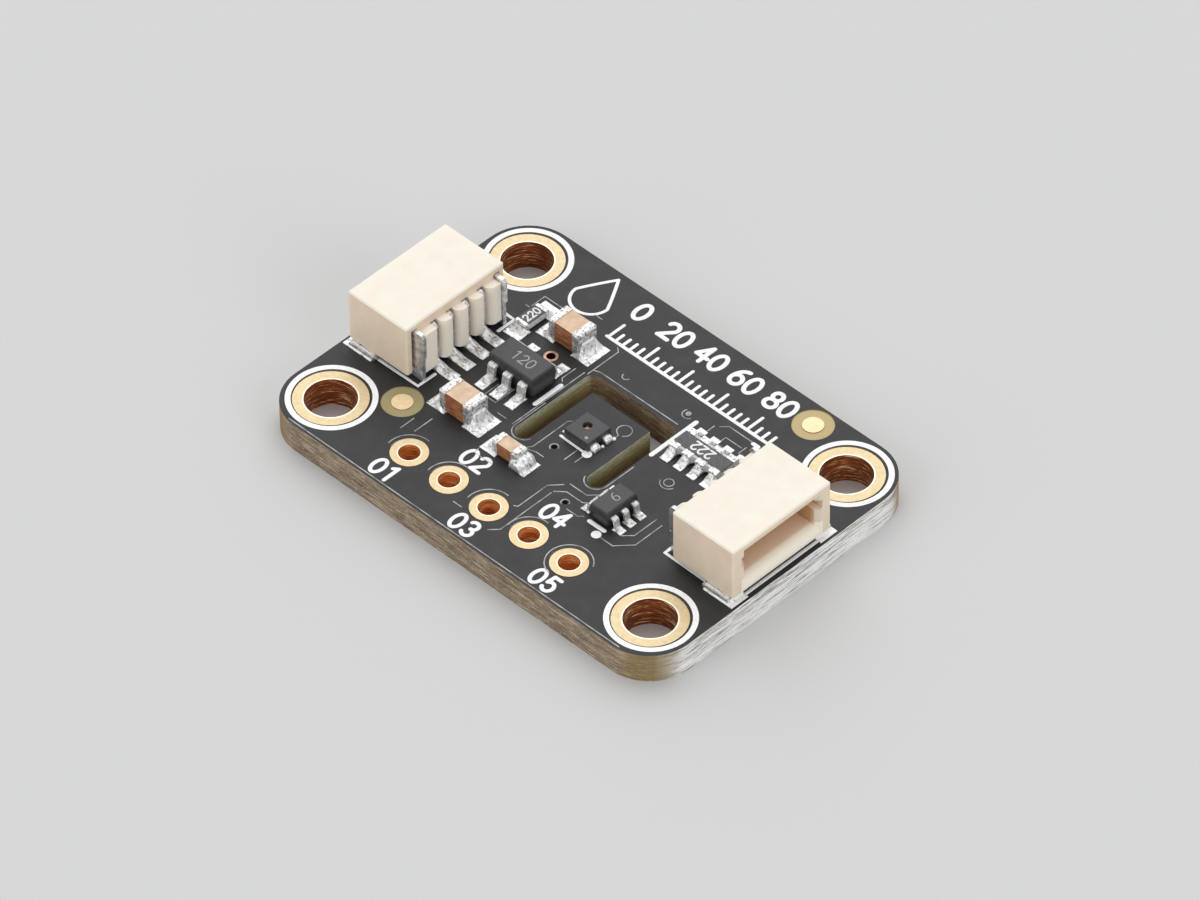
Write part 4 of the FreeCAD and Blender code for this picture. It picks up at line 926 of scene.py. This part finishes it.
# %% Solder of the capacitors
LARGE_PLACES = ((-4.85, 3.96), (-5.14, -2.79))
SMALL_X, SMALL_Y = -1.62, -3.37
joints = []
for x, y in LARGE_PLACES:
    for side in (-1, 1):
        land = (*span(side, x, 0.57, 1.68), *around(y, 0.75))
        face = (*span(side, x, 0.9, 1.02), *around(y, 0.4))
        foot = (*span(side, x, 0.8, 1.1), *around(y, 0.6))
        joints.append((land, (face, 0.6, 0.45, "SHARP"), (foot, 0.12, 0.3, "SMOOTH")))
for side, lift, falloff in ((-1, 0.35, "SHARP"), (1, 0.55, "SPHERE")):
    land = (*span(side, SMALL_X, 0.45, 1.42), -3.92, -2.82)
    face = (*span(side, SMALL_X, 0.7, 0.86), *around(SMALL_Y, 0.22))
    joints.append((land, (face, lift, 0.45, falloff)))
solder_group("capacitor_joints", joints, "capacitor_solder")

# %% Solder of the resistors and the sensor
RESISTOR_Y, ARRAY_Y = 3.6, 2.6
ARRAY_TERMINALS = (3.555, 4.385, 5.215, 6.045)
joints = []
for side in (-1, 1):
    land = (-7.65, -6.63, *span(side, RESISTOR_Y, 0.56, 1.4))
    face = (-7.44, -6.84, *span(side, RESISTOR_Y, 0.74, 0.82))
    joints.append((land, (face, 0.3, 0.4, "SHARP")))
    for x in ARRAY_TERMINALS:
        land = (*around(x, 0.25), *span(side, ARRAY_Y, 0.42, 1.35))
        face = (*around(x, 0.14), *span(side, ARRAY_Y, 0.7, 0.8))
        joints.append((land, (face, 0.38, 0.42, "SHARP")))
solder_group("resistor_joints", joints, "resistor_solder")

joints = []
for y in (-0.4, 0.4):
    left = ((-0.84, -0.7, *around(y, 0.1)), 0.14, 0.2, "SHARP")
    right = ((0.7, 0.86, *around(y, 0.08)), 0.26, 0.26, "SPHERE")
    joints += [((-1.05, -0.45, *around(y, 0.21)), left), ((0.45, 1.05, *around(y, 0.21)), right)]
solder_group("sensor_joints", joints, "sensor_solder")

# %% [markdown]
# ## Marks on the parts
# A laser writes on moulded epoxy by frosting it, so the mark is a paler grey in the same plane.
# The marks here are plain numbers, small enough to be read only from close by.

# %% Laser marks
MARK = 0.006
# Burnt by a laser: the skin is roughened and pale grey.
frosted = grained("laser_frosted_epoxy", [(0.3, "#8C8C8B"), (0.7, "#B5B5B3")], 0.05, 0.002,
                  Roughness=0.6)
# Printed on the glass and fired with it: white and a little soft.
white_mark = grained("white_resistor_mark", [(0.3, "#E3E3E1"), (0.7, "#F8F8F6")], 0.08, 0.002,
                     Roughness=0.5)
regulator_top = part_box("regulator_body")[1][2]
shifter_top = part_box("level_shifter_body")[1][2]
sensor_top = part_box("sensor_package")[1][2]
array_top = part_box("resistor_array_coat")[1][2]
resistor_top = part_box("resistor_coat")[1][2]
marks = [figure("120", -4.75, REGULATOR_Y, 0.56, 0.07, MARK, regulator_top),
         figure("6", SHIFTER_X, -2.6, 0.5, 0.06, MARK, shifter_top, 90),
         dot(0.42, -0.5, 0.09, MARK, sensor_top)]
settle(join(marks), "laser_marks", frosted)
values = [figure("222", 4.75, ARRAY_Y, 0.52, 0.11, MARK, array_top, 180),
          figure("220", -7.14, RESISTOR_Y, 0.4, 0.085, MARK, resistor_top, 90)]
settle(join(values), "resistor_marks", white_mark)

# %% Write the sizes and finish
shown = [list(corner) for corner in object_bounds()]
for name, box in (("cad", cad_box), ("visual", shown)):
    print(name, [[round(v / MM, 3) for v in corner] for corner in box])
